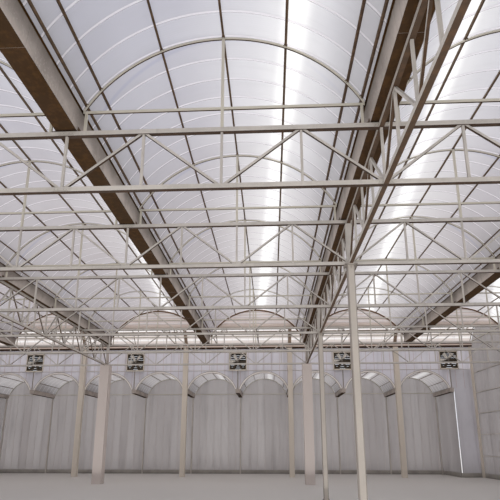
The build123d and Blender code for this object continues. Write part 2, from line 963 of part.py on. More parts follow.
# Exhaust fans: housings with motor and shaft, and a rotor in each
def fan_housing(x):
    """Square duct with a round inlet plate, a motor on a rail and its shaft."""
    half = fan_size / 2
    motor_front = rotor_plane + hub_length / 2 + rotor_gap
    with BuildPart() as housing:
        with BuildSketch(across(fan_front)):
            sketch_block((x - half, fan_level - half), (x + half, fan_level + half))
            sketch_block(
                (x - half + fan_wall, fan_level - half + fan_wall),
                (x + half - fan_wall, fan_level + half - fan_wall),
                mode=Mode.SUBTRACT,
            )
        extrude(amount=-fan_depth)
        with BuildSketch(across(fan_front)):
            sketch_block((x - half, fan_level - half), (x + half, fan_level + half))
            with Locations((x, fan_level)):
                RegularPolygon(venturi_bore_radius, inlet_sides, mode=Mode.SUBTRACT)
        extrude(amount=-venturi_plate)
        with BuildSketch(across(motor_front)):
            with Locations((x, fan_level)):
                RegularPolygon(motor_radius, motor_sides)
        extrude(amount=-motor_length)
        with BuildSketch(across(motor_front)):
            with Locations((x, fan_level)):
                Circle(shaft_radius)
        extrude(amount=shaft_reach + rotor_gap)
        block(
            (x - half + fan_wall, motor_front + motor_rail, fan_level - motor_rail / 2),
            (x + half - fan_wall, motor_front + 2 * motor_rail, fan_level + motor_rail / 2),
        )
    return housing.part


with BuildPart() as housings:
    for x in fan_valleys:
        add(fan_housing(x))
save(housings.part, "fan_housings")


def make_blade():
    """A plate bent in three at its pitch, trimmed to widen towards its tip."""
    rise = blade_camber * blade_tip_chord
    half = blade_tip_chord / 2
    middle = [(-half, 0), (-half / 3, rise), (half / 3, rise), (half, 0)]
    under = [(along, up - blade_thickness / 2) for along, up in middle]
    over = [(along, up + blade_thickness / 2) for along, up in reversed(middle)]
    flat = math.cos(math.radians(blade_pitch_angle)) / 2
    spoke = Plane(origin=(blade_root_radius, 0, 0), x_dir=(0, 1, 0), z_dir=(1, 0, 0))
    with BuildPart() as blade:
        with BuildSketch(spoke):
            Polygon(*under, *over, rotation=90 - blade_pitch_angle, align=None)
        extrude(amount=rotor_radius - blade_root_radius)
        with BuildSketch(Plane.XZ):
            Polygon(
                (blade_root_radius, -blade_root_chord * flat),
                (rotor_radius, -blade_tip_chord * flat),
                (rotor_radius, blade_tip_chord * flat),
                (blade_root_radius, blade_root_chord * flat),
                align=None,
            )
        extrude(amount=blade_tip_chord, both=True, mode=Mode.INTERSECT)
    return blade.part


one_blade = make_blade()


def fan_rotor(x):
    """Hub with a bore for the shaft and six pitched, widening blades."""
    with BuildPart() as rotor:
        with BuildSketch(across(rotor_plane + hub_length / 2)):
            with Locations((x, fan_level)):
                RegularPolygon(hub_radius, hub_sides)
        extrude(amount=hub_length)
        ends = rotor.faces().sort_by(Axis.Y)
        chamfer(ends[0].edges() + ends[-1].edges(), length=hub_chamfer)
        middle = Location((x, rotor_plane, fan_level))
        turns = [Rotation(0, 360.0 / blade_count * k, 0) for k in range(blade_count)]
        add([one_blade.moved(middle * turn) for turn in turns])
        with BuildSketch(across(rotor_plane + hub_length / 2)):
            with Locations((x, fan_level)):
                Circle(shaft_radius + shaft_play)
        extrude(amount=hub_length, mode=Mode.SUBTRACT)
    return rotor.part


for number, x in enumerate(fan_valleys, start=1):
    save(fan_rotor(x), f"fan_rotor_{number}")

total = sum(part.volume for name, part in written) / 1e9
print(f"{len(written)} nodes, {total:.2f} cubic metres of solid")
print("rows", [round(y) for y in row_lines], "partition", partition_line, "back", back_line)
print("fan level", fan_level, "rotor plane", rotor_plane, "valleys", low_valleys)
print("arch radius", round(arch_radius, 1), "crown", round(arch_centre_level + arch_radius, 1))
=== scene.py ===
"""Looks of a multi-span greenhouse with arched roofs, dressed over its fixed model."""

import math

import bmesh
import bpy
from bpy.props import FloatProperty, FloatVectorProperty, IntProperty, PointerProperty
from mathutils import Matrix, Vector


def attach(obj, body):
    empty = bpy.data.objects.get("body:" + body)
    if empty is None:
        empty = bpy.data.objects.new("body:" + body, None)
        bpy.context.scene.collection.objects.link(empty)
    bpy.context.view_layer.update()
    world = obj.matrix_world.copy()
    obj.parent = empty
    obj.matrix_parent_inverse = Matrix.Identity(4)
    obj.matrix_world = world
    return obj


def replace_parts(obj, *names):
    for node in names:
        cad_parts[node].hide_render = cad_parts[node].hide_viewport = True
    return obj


bl_info = {
    "name": "Arched greenhouse",
    "version": (1, 0, 0),
    "blender": (4, 5, 0),
    "location": "View3D > Sidebar > Greenhouse",
    "description": "Sheets, bars, brackets and finishes of a multi-span greenhouse",
    "category": "Add Mesh",
}

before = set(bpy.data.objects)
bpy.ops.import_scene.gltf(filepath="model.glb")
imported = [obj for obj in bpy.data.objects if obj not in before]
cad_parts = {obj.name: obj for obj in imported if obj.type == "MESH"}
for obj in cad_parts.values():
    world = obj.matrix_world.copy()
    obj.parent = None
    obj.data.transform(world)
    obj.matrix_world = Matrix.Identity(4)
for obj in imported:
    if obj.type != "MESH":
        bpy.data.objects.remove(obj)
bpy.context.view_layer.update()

# Places of the building, in metres, as its frame has them
PITCH, BAY, LOW_PITCH, FAN_PITCH = 6.4, 4.2, 4.0, 8.0
HALL_SIDE, LOW_SIDE = 19.2, 18.4
VAULTS = [-16.0 + PITCH * k for k in range(6)]
LINES = [-HALL_SIDE + PITCH * k for k in range(7)]
ROWS = [-19.7 + BAY * k for k in range(8)]
VALLEYS = [-LOW_SIDE + LOW_PITCH * k for k in range(10)]
LOW_VAULTS = [valley + LOW_PITCH / 2 for valley in VALLEYS[:-1]]
FANS = VALLEYS[1::2]
CORRIDOR_ARCHES = [-HALL_SIDE + 3.2 * k for k in range(13)]
PROPS = ((PITCH, ROWS[3]), (PITCH, ROWS[5]), (-PITCH, ROWS[3]))
FRONT = -19.8
HALL_BACK = 9.725
CROSS_Y = 12.9625
PARTITION = 16.1
LOW_ROW = 19.7
LOW_BACK = 19.75
SIDE_FACE = 19.325
KERB_TOP = 0.3
LOW_FOOT = 6.4
CHORDS = (7.25, 8.52)
GUTTER_FOOT, TIE_FOOT, GUTTER_TOP = 8.57, 9.01, 9.06
CROSS_FOOT = 9.85
FAN_LEVEL = 8.5206
ROTOR_FACE = 16.1195
GUARD, LOUVRE, MOTOR = 16.052, 16.457, (16.3, 16.43)
DOOR_X, DOOR_FACE, DOOR_TOP, LEAF, LEAF_TOP = 3.2, -19.856, 3.72, 1.85, 3.65
SQUARE = ((-1, -1), (-1, 1), (1, -1), (1, 1))


def laid(axis, across, run, level):
    """A point by its places across and along a vault that runs along this axis."""
    return (across, run, level) if axis == "Y" else (run, across, level)


class Arch:
    """The circle that an arch, its purlins and its sheet are bent round."""

    def __init__(self, level, radius, tube, purlin, sheet, reach, leans, foot):
        self.level = level
        self.radius = radius
        self.tube = tube
        self.skin = radius + tube / 2 + purlin + 0.0003
        self.sheet = sheet
        self.purlin = purlin
        self.reach = reach
        self.leans = leans
        self.foot = foot

    def turn_at(self, radius):
        """Angle from upright at which a circle of this radius meets the foot level."""
        return math.acos((self.foot - self.level) / radius)

    def point(self, axis, centre, run, radius, turn):
        """A point on a circle of this radius round the vault at centre."""
        across, level = centre + radius * math.sin(turn), self.level + radius * math.cos(turn)
        return laid(axis, across, run, level)

    def height(self, off, radius, reach, foot):
        """Level of a circle of this radius above a place, or the foot past its reach."""
        if abs(off) < reach:
            return self.level + math.sqrt(radius ** 2 - off ** 2)
        return foot

    def under_sheet(self, off, foot):
        """Level just under the bent sheet above a place, or the foot past its reach."""
        return self.height(off, self.skin - 0.02, self.reach, foot)


HALL = Arch(7.4829, 3.3011, 0.04, 0.045, 0.016, 2.9, (0, 23.44, 50.63, 58.8), GUTTER_TOP)
CROSS = Arch(7.9162, 3.4338, 0.04, 0.045, 0.016, 2.8, (0, 19.32, 38.2), CROSS_FOOT)
LOW = Arch(5.729, 1.921, 0.05, 0.035, 0.010, 1.75, (0, 24.04, 52.13), LOW_FOOT)
TRIM_RADIUS, TRIM_HALF = LOW.skin + LOW.sheet + 0.0406, 1.958


def length(name, description, default):
    """A length that a user can change, in metres."""
    return FloatProperty(name=name, description=description, default=default, unit="LENGTH")


def colour(name, description, *default):
    """A colour that a user can change."""
    return FloatVectorProperty(
        name=name, description=description, subtype="COLOR", default=default
    )


class GreenhouseSizes(bpy.types.PropertyGroup):
    """Sizes of what is fitted to the frame."""

    sheet_width: length("Sheet width", "Width of a roof or wall sheet, from joint to joint", 0.6)
    joint_bar: length("Joint bar", "Width of the bar under each joint of the wall sheets", 0.03)
    roof_bar: length(
        "Roof joint bar", "Width of the bar beside each joint of the roof sheets", 0.008
    )
    cap_bar: length("Cap bar", "Width of the cap over each joint of the sheets", 0.06)
    arch_steps: IntProperty(
        name="Arch steps",
        description="Straight steps that a bent tube or sheet is made in",
        default=36,
        min=8,
    )
    plate: length("Plate", "Thickness of brackets and joint plates", 0.008)
    bolt: length("Bolt", "Distance across the head of a bolt", 0.024)


class GreenhouseColours(bpy.types.PropertyGroup):
    """Colours of the finishes."""

    steel: colour("Steel", "Dull galvanised steel of trusses and rails", 0.61, 0.575, 0.535)
    # Painted shade: the colour painted on the steel's faces that look down.
    steel_shade: colour("Steel from below", "Stained undersides of the steel", 0.030, 0.012, 0.004)
    column: colour("Column paint", "Pale grey paint of the columns", 0.56, 0.515, 0.465)
    gutter: colour("Gutter side", "Mottled zinc of the gutter sides", 0.56, 0.50, 0.46)
    # Painted shade: the colour painted on the gutters' faces that look down, brown and mottled.
    gutter_shade: colour(
        "Gutter from below", "Brown stained underside of the gutters", 0.040, 0.0185, 0.005
    )
    sheet_shade: colour("Sheet", "Light through a plain stretch of sheet", 0.34, 0.34, 0.41)
    sheet_far: colour("Far sheet", "Light through the sheet at the far end", 0.385, 0.345, 0.355)
    seam: colour("Sheet seam", "Pale line along each joint of the sheets", 0.98, 0.94, 0.96)
    # Partly painted light: on the roofs this colour paints the glare bands and bright stripes.
    sheet_bright: colour(
        "Bright sheet", "Light through the bright side of each vault", 1.0, 0.985, 0.96
    )
    corridor_sheet: colour(
        "Corridor sheet", "Light through the warm sheet of the cross corridor", 0.64, 0.535, 0.475
    )
    partition_sheet: colour(
        "Partition sheet", "Light through the cool sheet round the fans", 0.79, 0.765, 0.815
    )
    wall_sheet: colour("Wall sheet", "Light through the outer walls", 0.47, 0.435, 0.425)
    concrete: colour("Kerb", "Plain cast concrete", 0.42, 0.40, 0.37)
    floor: colour("Floor", "Plain pale floor under the greenhouse", 0.74, 0.73, 0.71)


class Signal:
    """A node's socket that can stand in sums, on either side of a number."""

    def __init__(self, finish, socket):
        self.finish = finish
        self.socket = socket

    def maths(self, operation, *values):
        """A Math node on these values, numbers or sockets."""
        inputs = dict(enumerate(values))
        return self.finish.add("ShaderNodeMath", {"operation": operation}, inputs)

    def __add__(self, other):
        return self.maths("ADD", self, other)

    __radd__ = __add__

    def __sub__(self, other):
        return self.maths("SUBTRACT", self, other)

    def __rsub__(self, other):
        return self.maths("SUBTRACT", other, self)

    def __mul__(self, other):
        return self.maths("MULTIPLY", self, other)

    __rmul__ = __mul__

    def __truediv__(self, other):
        return self.maths("DIVIDE", self, other)

    def __mod__(self, other):
        return self.maths("FLOORED_MODULO", self, other)

    def __neg__(self):
        return self.maths("SUBTRACT", 0.0, self)

    def __abs__(self):
        return self.maths("ABSOLUTE", self)

    def __floor__(self):
        return self.maths("FLOOR", self)

    def __or__(self, other):
        return self.maths("MAXIMUM", self, other)

    def __and__(self, other):
        return self.maths("MINIMUM", self, other)


class Finish:
    """A material whose nodes are added one at a time."""

    def __init__(self, name):
        self.material = bpy.data.materials.new(name)
        self.material.use_nodes = True
        self.tree = self.material.node_tree
        self.tree.nodes.clear()
        self.place = self.add("ShaderNodeTexCoord", output="Object")
        self.x, self.y, self.z = self.parts_of(self.place)

    def add(self, kind, settings=None, inputs=None, output=0):
        """A node of this type: settings first, then values or links of its sockets."""
        node = self.tree.nodes.new(kind)
        for name, value in (settings or {}).items():
            setattr(node, name, value)
        for name, value in (inputs or {}).items():
            if isinstance(value, Signal):
                self.tree.links.new(value.socket, node.inputs[name])
            elif node.inputs[name].type == "RGBA":
                node.inputs[name].default_value = (*value, 1.0)
            else:
                node.inputs[name].default_value = value
        return Signal(self, node.outputs[output])

    def parts_of(self, vector):
        """The three parts of a vector."""
        first = self.add("ShaderNodeSeparateXYZ", None, {0: vector})
        return [Signal(self, socket) for socket in first.socket.node.outputs]

    def noise(self, scale, stretch=(1, 1, 1), detail=3.0):
        """Cloudy noise from 0 to 1, stretched along the building's directions."""
        place = self.add(
            "ShaderNodeVectorMath",
            {"operation": "MULTIPLY"},
            {0: self.place, 1: tuple(scale / s for s in stretch)},
        )
        inputs = {"Vector": place, "Scale": 1.0, "Detail": detail, "Roughness": 0.55}
        return self.add("ShaderNodeTexNoise", None, inputs)

    def rise(self, value, low, high):
        """0 below low and 1 above high, with a smooth rise between them."""
        inputs = {0: value, 1: low, 2: high, 3: 0.0, 4: 1.0}
        return self.add("ShaderNodeMapRange", {"interpolation_type": "SMOOTHSTEP"}, inputs)

    def fall(self, value, low, high):
        """1 below low and 0 above high, with a smooth fall between them."""
        return 1.0 - self.rise(value, low, high)

    def lines(self, run, pitch, low, high):
        """1 on lines at this pitch and 0 between them."""
        return self.fall(abs((run / pitch) % 1.0 - 0.5), low, high)

    def off_row(self):
        """How far a place lies from the nearest row, as a share of the bay."""
        return ((self.y - ROWS[0]) / BAY + 0.5) % 1.0 - 0.5

    def mix(self, factor, first, second):
        """Two colours mixed."""
        inputs = {0: factor, 6: first, 7: second}
        return self.add("ShaderNodeMix", {"data_type": "RGBA"}, inputs, 2)

    def blend(self, factor, first, second):
        """Two shaders mixed."""
        return self.add("ShaderNodeMixShader", None, {0: factor, 1: first, 2: second})

    def through(self, tone):
        """A shader that lets light of this colour through."""
        return self.add("ShaderNodeBsdfTranslucent", None, {"Color": tone})

    def clear(self, tone):
        """A shader that is clear but for this colour."""
        return self.add("ShaderNodeBsdfTransparent", None, {"Color": tone})

    def bump(self, height, strength, distance):
        """A bumped normal from a height."""
        inputs = {"Height": height, "Strength": strength, "Distance": distance}
        return self.add("ShaderNodeBump", None, inputs)

    def surface(self, **inputs):
        """The main shader, with its sockets named as words_with_underscores."""
        named = {
            key.replace("_", " ").title().replace("Ior", "IOR"): value
            for key, value in inputs.items()
        }
        return self.add("ShaderNodeBsdfPrincipled", None, named)

    def done(self, shader):
        """Links the shader to the output and gives the material."""
        output = self.tree.nodes.new("ShaderNodeOutputMaterial")
        self.tree.links.new(shader.socket, output.inputs["Surface"])
        return self.material


def darker(tone, share):
    """A colour with its light cut to this share."""
    return tuple(part * share for part in tone)


def off_middle(place, side, pitch):
    """How far a place lies from the middle of its own pitch, from a first line at -side."""
    return (place + side) % pitch - pitch / 2


def steel_finish(name, tone, under, depth, wear, places=None, sides=None, shine=0.2):
    """Dull zinc with drip streaks, cloudy patches and painted shade on the faces that look down.

    Where sides or places is given, it changes the colour by place, before or
    after the painted shade of the undersides; places also gets how far a face looks down.
    """
    finish = Finish(name)
    cloud = finish.noise(1.3, detail=4.0)
    grain = finish.noise(24.0)
    streak = finish.noise(9.0, (1, 1, 9))
    facing = finish.parts_of(finish.add("ShaderNodeNewGeometry", output="Normal"))
    down = -facing[2]
    patches = finish.rise(cloud, 0.35, 0.7)
    paint = finish.mix(patches, tone, darker(tone, 1 - 0.16 * wear))
    specks = finish.rise(grain, 0.5, 0.75) * (0.35 * wear)
    paint = finish.mix(specks, paint, darker(tone, 1.12))
    drips = finish.rise(streak, 0.55, 0.8) * (0.4 * wear)
    paint = finish.mix(drips, paint, darker(tone, 0.62))
    if sides:
        paint = sides(finish, paint, cloud)
    # Painted shade: faces that look down are painted in the under colour, mottled, as far as depth
    # says.
    stain = finish.mix(finish.rise(streak + 0.4 * cloud, 0.6, 0.95), under, darker(under, 1.7))
    paint = finish.mix(finish.rise(down, 0.15, 0.6) * depth, paint, stain)
    if places:
        paint = places(finish, paint, down)
    shader = finish.surface(
        base_color=paint,
        roughness=0.55 + 0.22 * cloud,
        specular_ior_level=shine,
        normal=finish.bump(grain + 0.5 * streak, 0.25, 0.002),
    )
    return finish.done(shader)


def sheet_finish(name, along, band, shade, bright, far):
    """Translucent ribbed sheet: plain stretches, bright stretches that are partly painted light,
    seams, ribs, dust and painted shade, and faint clear.

    The band gives marks by place: how bright the sheet is, which on the roofs is painted light, and
    how dusty, which at the hall vaults' feet is also painted shade, and where it likes how clear,
    how far along, where a painted soft shadow lies on it and where the painted glare is strongest.
    """
    sizes, colours = bpy.context.scene.greenhouse_sizes, bpy.context.scene.greenhouse_colours
    finish = Finish(name)
    run = finish.x - LINES[0] if along == "X" else finish.y - ROWS[0]
    index = math.floor(run / sizes.sheet_width)
    tint = finish.add("ShaderNodeTexWhiteNoise", {"noise_dimensions": "1D"}, {"W": index})
    cloud = finish.noise(0.7)
    streak = finish.noise(5.0, (9, 1, 3) if along == "Y" else (1, 9, 3), 4.0)
    rib = abs((run / 0.05) % 1.0 - 0.5) * 2.0
    marks = band(finish)
    dust = marks["dust"] + finish.rise(streak, 0.45, 0.85) * 0.10
    dust = dust + finish.rise(cloud, 0.4, 0.8) * 0.08
    light = marks["light"] * (0.80 + 0.34 * cloud) + 0.10 * (tint - 0.5) - 0.03 * rib
    body = finish.through(shade)
    if far:
        body = finish.blend(marks["far"], body, finish.through(far))
        # Painted shadow: the soft bluish arc beyond each hall arch.
        body = finish.blend(marks["arc"], body, finish.through((0.22, 0.23, 0.36)))
    # The bright stretches: painted light on the roofs and the vault ends, a cloudy tone on the
    # walls.
    body = finish.blend((light | 0.0) & 1.0, body, finish.through(bright))
    # Dust and dark lines, and at the hall vaults' feet also painted shade.
    body = finish.blend(dust & 1.0, body, finish.through((0.17, 0.150, 0.145)))
    if "seam" in marks:
        off = abs((run / sizes.sheet_width + 0.5) % 1.0 - 0.5) * sizes.sheet_width
        seam = finish.fall(off, 0.012, 0.030) * marks["seam"]
        body = finish.blend(seam, body, finish.through(colours.seam))
    face = finish.surface(
        base_color=(0.80, 0.80, 0.83),
        roughness=0.14 + 0.12 * cloud,
        specular_ior_level=0.8,
        ior=1.65,
        normal=finish.bump(rib + cloud, 0.05, 0.004),
    )
    # Less gloss where the painted glare is strongest.
    body = finish.blend(0.34 - 0.16 * marks.get("core", 0.0), body, face)
    glass = finish.clear((0.93, 0.94, 0.97))
    return finish.done(finish.blend(marks.get("clear", 0.06) + 0.03 * tint, body, glass))


def cap_finish(name):
    """Clear plastic of the caps, with a faint cloud of dust."""
    finish = Finish(name)
    cloud = finish.noise(3.0)
    face = finish.surface(base_color=(0.78, 0.76, 0.75), roughness=0.2 + 0.3 * cloud)
    body = finish.blend(0.4, finish.through((0.92, 0.91, 0.92)), face)
    return finish.done(finish.blend(0.80 - 0.2 * cloud, body, finish.clear((0.98, 0.98, 0.99))))


def flat(first, second, level):
    """A level rectangle between two opposite corners, as a loop of four."""
    (x0, y0), (x1, y1) = first[:2], second[:2]
    return [(x0, y0, level), (x1, y0, level), (x1, y1, level), (x0, y1, level)]


def block(first, second):
    """A block between two opposite corners, as two loops of four."""
    low, high = zip(*(sorted(pair) for pair in zip(first, second)))
    return [flat(low, high, level) for level in (low[2], high[2])]


def post(x, y, half_x, half_y, low, high):
    """An upright block round its middle line."""
    return block((x - half_x, y - half_y, low), (x + half_x, y + half_y, high))


def turns(limit):
    """Angles from upright in even steps, as far as limit on each side."""
    steps = bpy.context.scene.greenhouse_sizes.arch_steps
    return [-limit + 2 * limit * k / steps for k in range(steps + 1)]


def bent_bar(arch, centre, radius, span, axis, turn, depth, corner=0.0):
    """Loops of a bar bent round an arch, with cut corners, as far as turn on each side.

    It lies from span[0] to span[1] along the axis, and depth on each side of its radius.
    """
    low, high = span
    section = [(low, -depth), (high, -depth), (high, depth), (low, depth)]
    if corner:
        section = [
            (low, -depth + corner), (low + corner, -depth),
            (high - corner, -depth), (high, -depth + corner),
            (high, depth - corner), (high - corner, depth),
            (low + corner, depth), (low, depth - corner),
        ]
    return [
        [arch.point(axis, centre, run, radius + out, angle) for run, out in section]
        for angle in turns(turn)
    ]


def bent_tube(arch, centre, place, axis, half=0.025, corner=0.005):
    """The bent tube of an arch, at a place along its vault."""
    turn, span = arch.turn_at(arch.radius), (place - half, place + half)
    return bent_bar(arch, centre, arch.radius, span, axis, turn, arch.tube / 2, corner)


def rod(start, end, radius, sides=6):
    """A straight round rod as two loops."""
    start, end = Vector(start), Vector(end)
    turn = (end - start).to_track_quat("Z", "Y").to_matrix()
    angles = [2 * math.pi * (k + 0.5) / sides for k in range(sides)]
    section = [Vector((radius * math.cos(a), radius * math.sin(a), 0)) for a in angles]
    return [[middle + turn @ offset for offset in section] for middle in (start, end)]


def bolt(place, direction, size, height=0.012):
    """A six-sided bolt head with a domed washer below it."""
    place, direction = Vector(place), Vector(direction)
    head = rod(place, place + direction * height, size / 2, 6)
    washer = rod(place, place + direction * 0.003, size * 0.85, 10)
    return [head, washer]


def mesh_of(name, sweeps, closed=True):
    """A mesh of many sweeps, each a list of loops joined in order."""
    points, faces = [], []
    for loops in sweeps:
        count = len(loops[0])
        base = len(points)
        for loop in loops:
            points.extend(loop)
        for row in range(len(loops) - 1):
            for k in range(count if closed else count - 1):
                a = base + row * count + k
                b = base + row * count + (k + 1) % count
                faces.append((a, b, b + count, a + count))
        if closed:
            faces.append(tuple(range(base + count - 1, base - 1, -1)))
            last = base + (len(loops) - 1) * count
            faces.append(tuple(range(last, last + count)))
    mesh = bpy.data.meshes.new(name)
    mesh.from_pydata([tuple(point) for point in points], [], faces)
    shape = bmesh.new()
    shape.from_mesh(mesh)
    bmesh.ops.recalc_face_normals(shape, faces=shape.faces)
    shape.to_mesh(mesh)
    shape.free()
    return mesh


def piece(
    name, sweeps, finish, body="root", smooth=None, bevel=0.0, closed=True
):
    """A finished piece of many sweeps that rides on a body of the frame."""
    thing = bpy.data.objects.new(name, mesh_of(name, sweeps, closed))
    bpy.context.scene.collection.objects.link(thing)
    thing.data.materials.append(finishes[finish])
    if smooth is not None:
        thing.data.shade_smooth()
        thing.data.set_sharp_from_angle(angle=math.radians(smooth))
    if bevel:
        add_bevel(thing, bevel)
    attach(thing, body)
    return thing


def add_bevel(thing, width):
    """A small round on the edges of a piece."""
    edge = thing.modifiers.new("Round", "BEVEL")
    edge.width = width
    edge.segments = 2
    edge.limit_method = "ANGLE"
    edge.angle_limit = math.radians(40)
    edge.harden_normals = True


def repaint(finish, *nodes, bevel=0.0):
    """Gives nodes of the frame a finish, and a small round on their edges."""
    for node in nodes:
        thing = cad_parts[node]
        thing.data.materials.clear()
        thing.data.materials.append(finishes[finish])
        if bevel:
            add_bevel(thing, bevel)


def joints(start, end, along, width):
    """Places of the joints of sheets between two ends, ends included.

    The joints keep step with the side wall or, along Y, with the first row.
    """
    origin = LINES[0] if along == "X" else ROWS[0]
    first = math.floor((start - origin) / width + 0.25) + 1
    last = math.ceil((end - origin) / width - 0.25)
    return [start, *(origin + width * k for k in range(first, last)), end]


finishes = {}


def arch_painted_light(finish, paint, down):
    """Painted light: the near side of each hall arch is painted pale, also below."""
    near = finish.fall(finish.off_row(), -0.0025, -0.0015) * finish.fall(finish.y, 9.75, 9.76)
    return finish.mix(near * 0.9, paint, (0.62, 0.585, 0.50))


def trim_places(finish, paint, down):
    """The rims of the arched trims are darker than their sunk middle."""
    rims = finish.fall(finish.y, 16.044, 16.048) * finish.fall(finish.z, 7.80, 7.82)
    return finish.mix(rims * 0.85, paint, (0.22, 0.19, 0.165))


def column_edge_shade_and_paint(finish, paint, down):
    """Painted shade on the edges of the slender columns, and paler paint on the broad and the rear
    ones.
    """
    broad = finish.rise(finish.y, 9.0, 9.2)
    # Painted shade: the slender columns are darker near their edges.
    edge = finish.rise(abs(abs(finish.x) - PITCH), 0.070, 0.082) * (1.0 - broad)
    paint = finish.mix(edge * 0.6, paint, (0.20, 0.17, 0.16))
    paint = finish.mix(broad, paint, (0.64, 0.575, 0.545))
    return finish.mix(finish.rise(finish.y, 15.0, 15.2), paint, (0.74, 0.68, 0.60))


def blade_painted_light(finish, paint, down):
    """Painted light: the blades on one side of each rotor are painted pale."""
    sweep = finish.z - FAN_LEVEL - 0.5 * off_middle(finish.x, LOW_SIDE, FAN_PITCH)
    return finish.mix(finish.rise(sweep, 0.05, 0.22), paint, (0.95, 0.92, 0.86))


def fan_places(finish, paint, down):
    """The casings are dark inside their rims."""
    across, level = off_middle(finish.x, LOW_SIDE, FAN_PITCH), finish.z - FAN_LEVEL
    inside = finish.fall(abs(across) | abs(level), 0.615, 0.635)
    return finish.mix(inside * 0.97, paint, (0.040, 0.027, 0.016))


def gutter_sides(finish, paint, cloud):
    """The hall gutters' sides darken upwards to a dark lip."""
    height = finish.rise(finish.z, 8.58, 9.04) * finish.fall(finish.z, 9.2, 9.3)
    paint = finish.mix(height * (0.75 + 0.7 * (cloud - 0.5)), paint, (0.20, 0.178, 0.16))
    lip = finish.rise(finish.z, 9.03, 9.045) * finish.fall(finish.z, 9.08, 9.1)
    return finish.mix(lip * 0.9, paint, (0.15, 0.115, 0.085))


def gutter_painted_shade_and_light(finish, paint, down):
    """Painted shadow over the trusses, the near corridor gutter painted pale as painted light, and
    the far one pale and lined.
    """
    row = abs(finish.off_row()) * BAY
    # Painted shadow: gutter undersides darken where they pass over a truss.
    cap = finish.fall(row, 0.09, 0.13) * finish.rise(down, 0.5, 0.8)
    paint = finish.mix(cap * 0.85, paint, (0.020, 0.012, 0.008))
    pale, dark = (0.78, 0.67, 0.60), (0.060, 0.034, 0.022)
    # Painted light: the near corridor gutter, which little light reaches, is painted pale.
    near = finish.rise(finish.z, 9.4, 9.5) * finish.fall(finish.y, 10.3, 10.5)
    paint = finish.mix(near * 0.85, paint, pale)
    far = finish.rise(finish.y, 15.0, 15.2) * finish.rise(finish.z, 9.0, 9.2)
    line = finish.rise(finish.z, 9.70, 9.715) * finish.fall(finish.z, 9.765, 9.78)
    line = line | finish.fall(finish.z, 9.585, 9.60)
    return finish.mix(far, paint, finish.mix(line, pale, dark))


def hall_band(finish):
    """A painted glare: a band of painted light along each hall vault that shifts with the vault and
    along it, with dust and painted shade at its feet and a painted shadow beyond each arch.
    """
    across = off_middle(finish.x, HALL_SIDE, PITCH)
    number = math.floor((finish.x + HALL_SIDE) / PITCH) - 3.0
    square = number * number
    centre = 0.86 - 0.92 * number - 0.11 * square
    slope = 0.109 * number + 0.056 * square - 0.053
    off = abs(across - (centre + slope * finish.y))
    ripple = 0.85 + 0.3 * finish.noise(0.8, (1, 3, 1))
    wide = 0.50 + 0.25 * ((number | -1.0) & 0.0)
    core = finish.fall(off / ripple, 0.12, 0.38)
    light = finish.fall(off, 0.0, 3.0) * wide + core * 0.36
    # Dust and painted shade: the feet of each vault are darker.
    foot = finish.rise(-across, 2.5, 3.1) * 0.55 | finish.rise(across, 2.0, 2.8) * 0.45
    bay = ((finish.y - ROWS[0]) / BAY) % 1.0 * BAY
    bow = across / HALL.reach
    return {
        "light": light + finish.fall(off / ripple, 0.1, 0.9) * 0.22,
        "dust": foot,
        "far": finish.rise(finish.y, -15.0, -1.0),
        # Painted shadow: a soft bluish arc on the sheet just beyond each arch.
        "arc": finish.fall(abs(bay - 0.1 - 0.5 * bow * bow), 0.01, 0.08) * 0.6,
        "seam": 0.65,
        "core": core,
    }


def low_band(finish):
    """A narrow bright band of painted light along each low vault, darker towards its feet."""
    across = off_middle(finish.x, LOW_SIDE, LOW_PITCH)
    light = finish.fall(abs(across - 0.45), 0.08, 0.3) * 0.9 + 0.1
    return {"light": light, "dust": finish.rise(abs(across), 1.2, 1.9) * 0.5 + 0.25, "seam": 0.4}


def cross_band(finish):
    """Thin lines of painted light along the corridor's sheet, where its ribs catch light, with dark
    lines between, brighter on its far side.
    """
    stripe = finish.lines(finish.y, 0.31, 0.05, 0.25)
    return {
        "light": (0.15 + 0.75 * stripe) * (0.35 + 0.65 * finish.rise(finish.y, 11.0, 15.0)),
        "dust": finish.lines(finish.y + 0.12, 0.31, 0.04, 0.16) * 0.35,
        "seam": 0.3,
    }


def end_band(finish):
    """Thin level lines on the clear sheets over the last row, the bright ones painted light, with a
    clearer line low down.
    """
    across, height = off_middle(finish.x, HALL_SIDE, PITCH), finish.z - HALL.level
    squares = across * across + height * height
    rim = finish.rise(squares.maths("SQRT", squares), HALL.radius - 0.55, HALL.radius - 0.3)
    level = finish.rise(finish.z, 9.85, 9.87)
    open_line = finish.rise(finish.z, 9.68, 9.70) * (1.0 - level)
    return {
        "light": 0.10 + 0.90 * finish.lines(finish.z, 0.19, 0.06, 0.25),
        "dust": finish.lines(finish.z + 0.07, 0.19, 0.05, 0.18) * 0.32,
        "clear": 0.62 + 0.33 * open_line - 0.42 * level - 0.12 * rim,
    }


def plain_band(finish):
    """Cloudy walls with faint drips and a dusty foot."""
    cloud = finish.noise(0.25, (1, 1, 2))
    drips = finish.rise(finish.noise(2.5, (1, 1, 14)), 0.5, 0.75)
    dust = 0.12 * cloud + 0.22 * drips + 0.15 * finish.fall(finish.z, 0.3, 1.6)
    return {"light": 0.08 + 0.25 * cloud, "dust": dust}


def partition_band(finish):
    """A plain wall that is dustier beyond the last arched openings."""
    marks = plain_band(finish)
    outside = finish.rise(abs(finish.x + 0.4), 17.98, 18.02)
    marks["dust"] = marks["dust"] + 0.3 * outside * finish.fall(finish.z, 7.7, 7.8)
    return marks


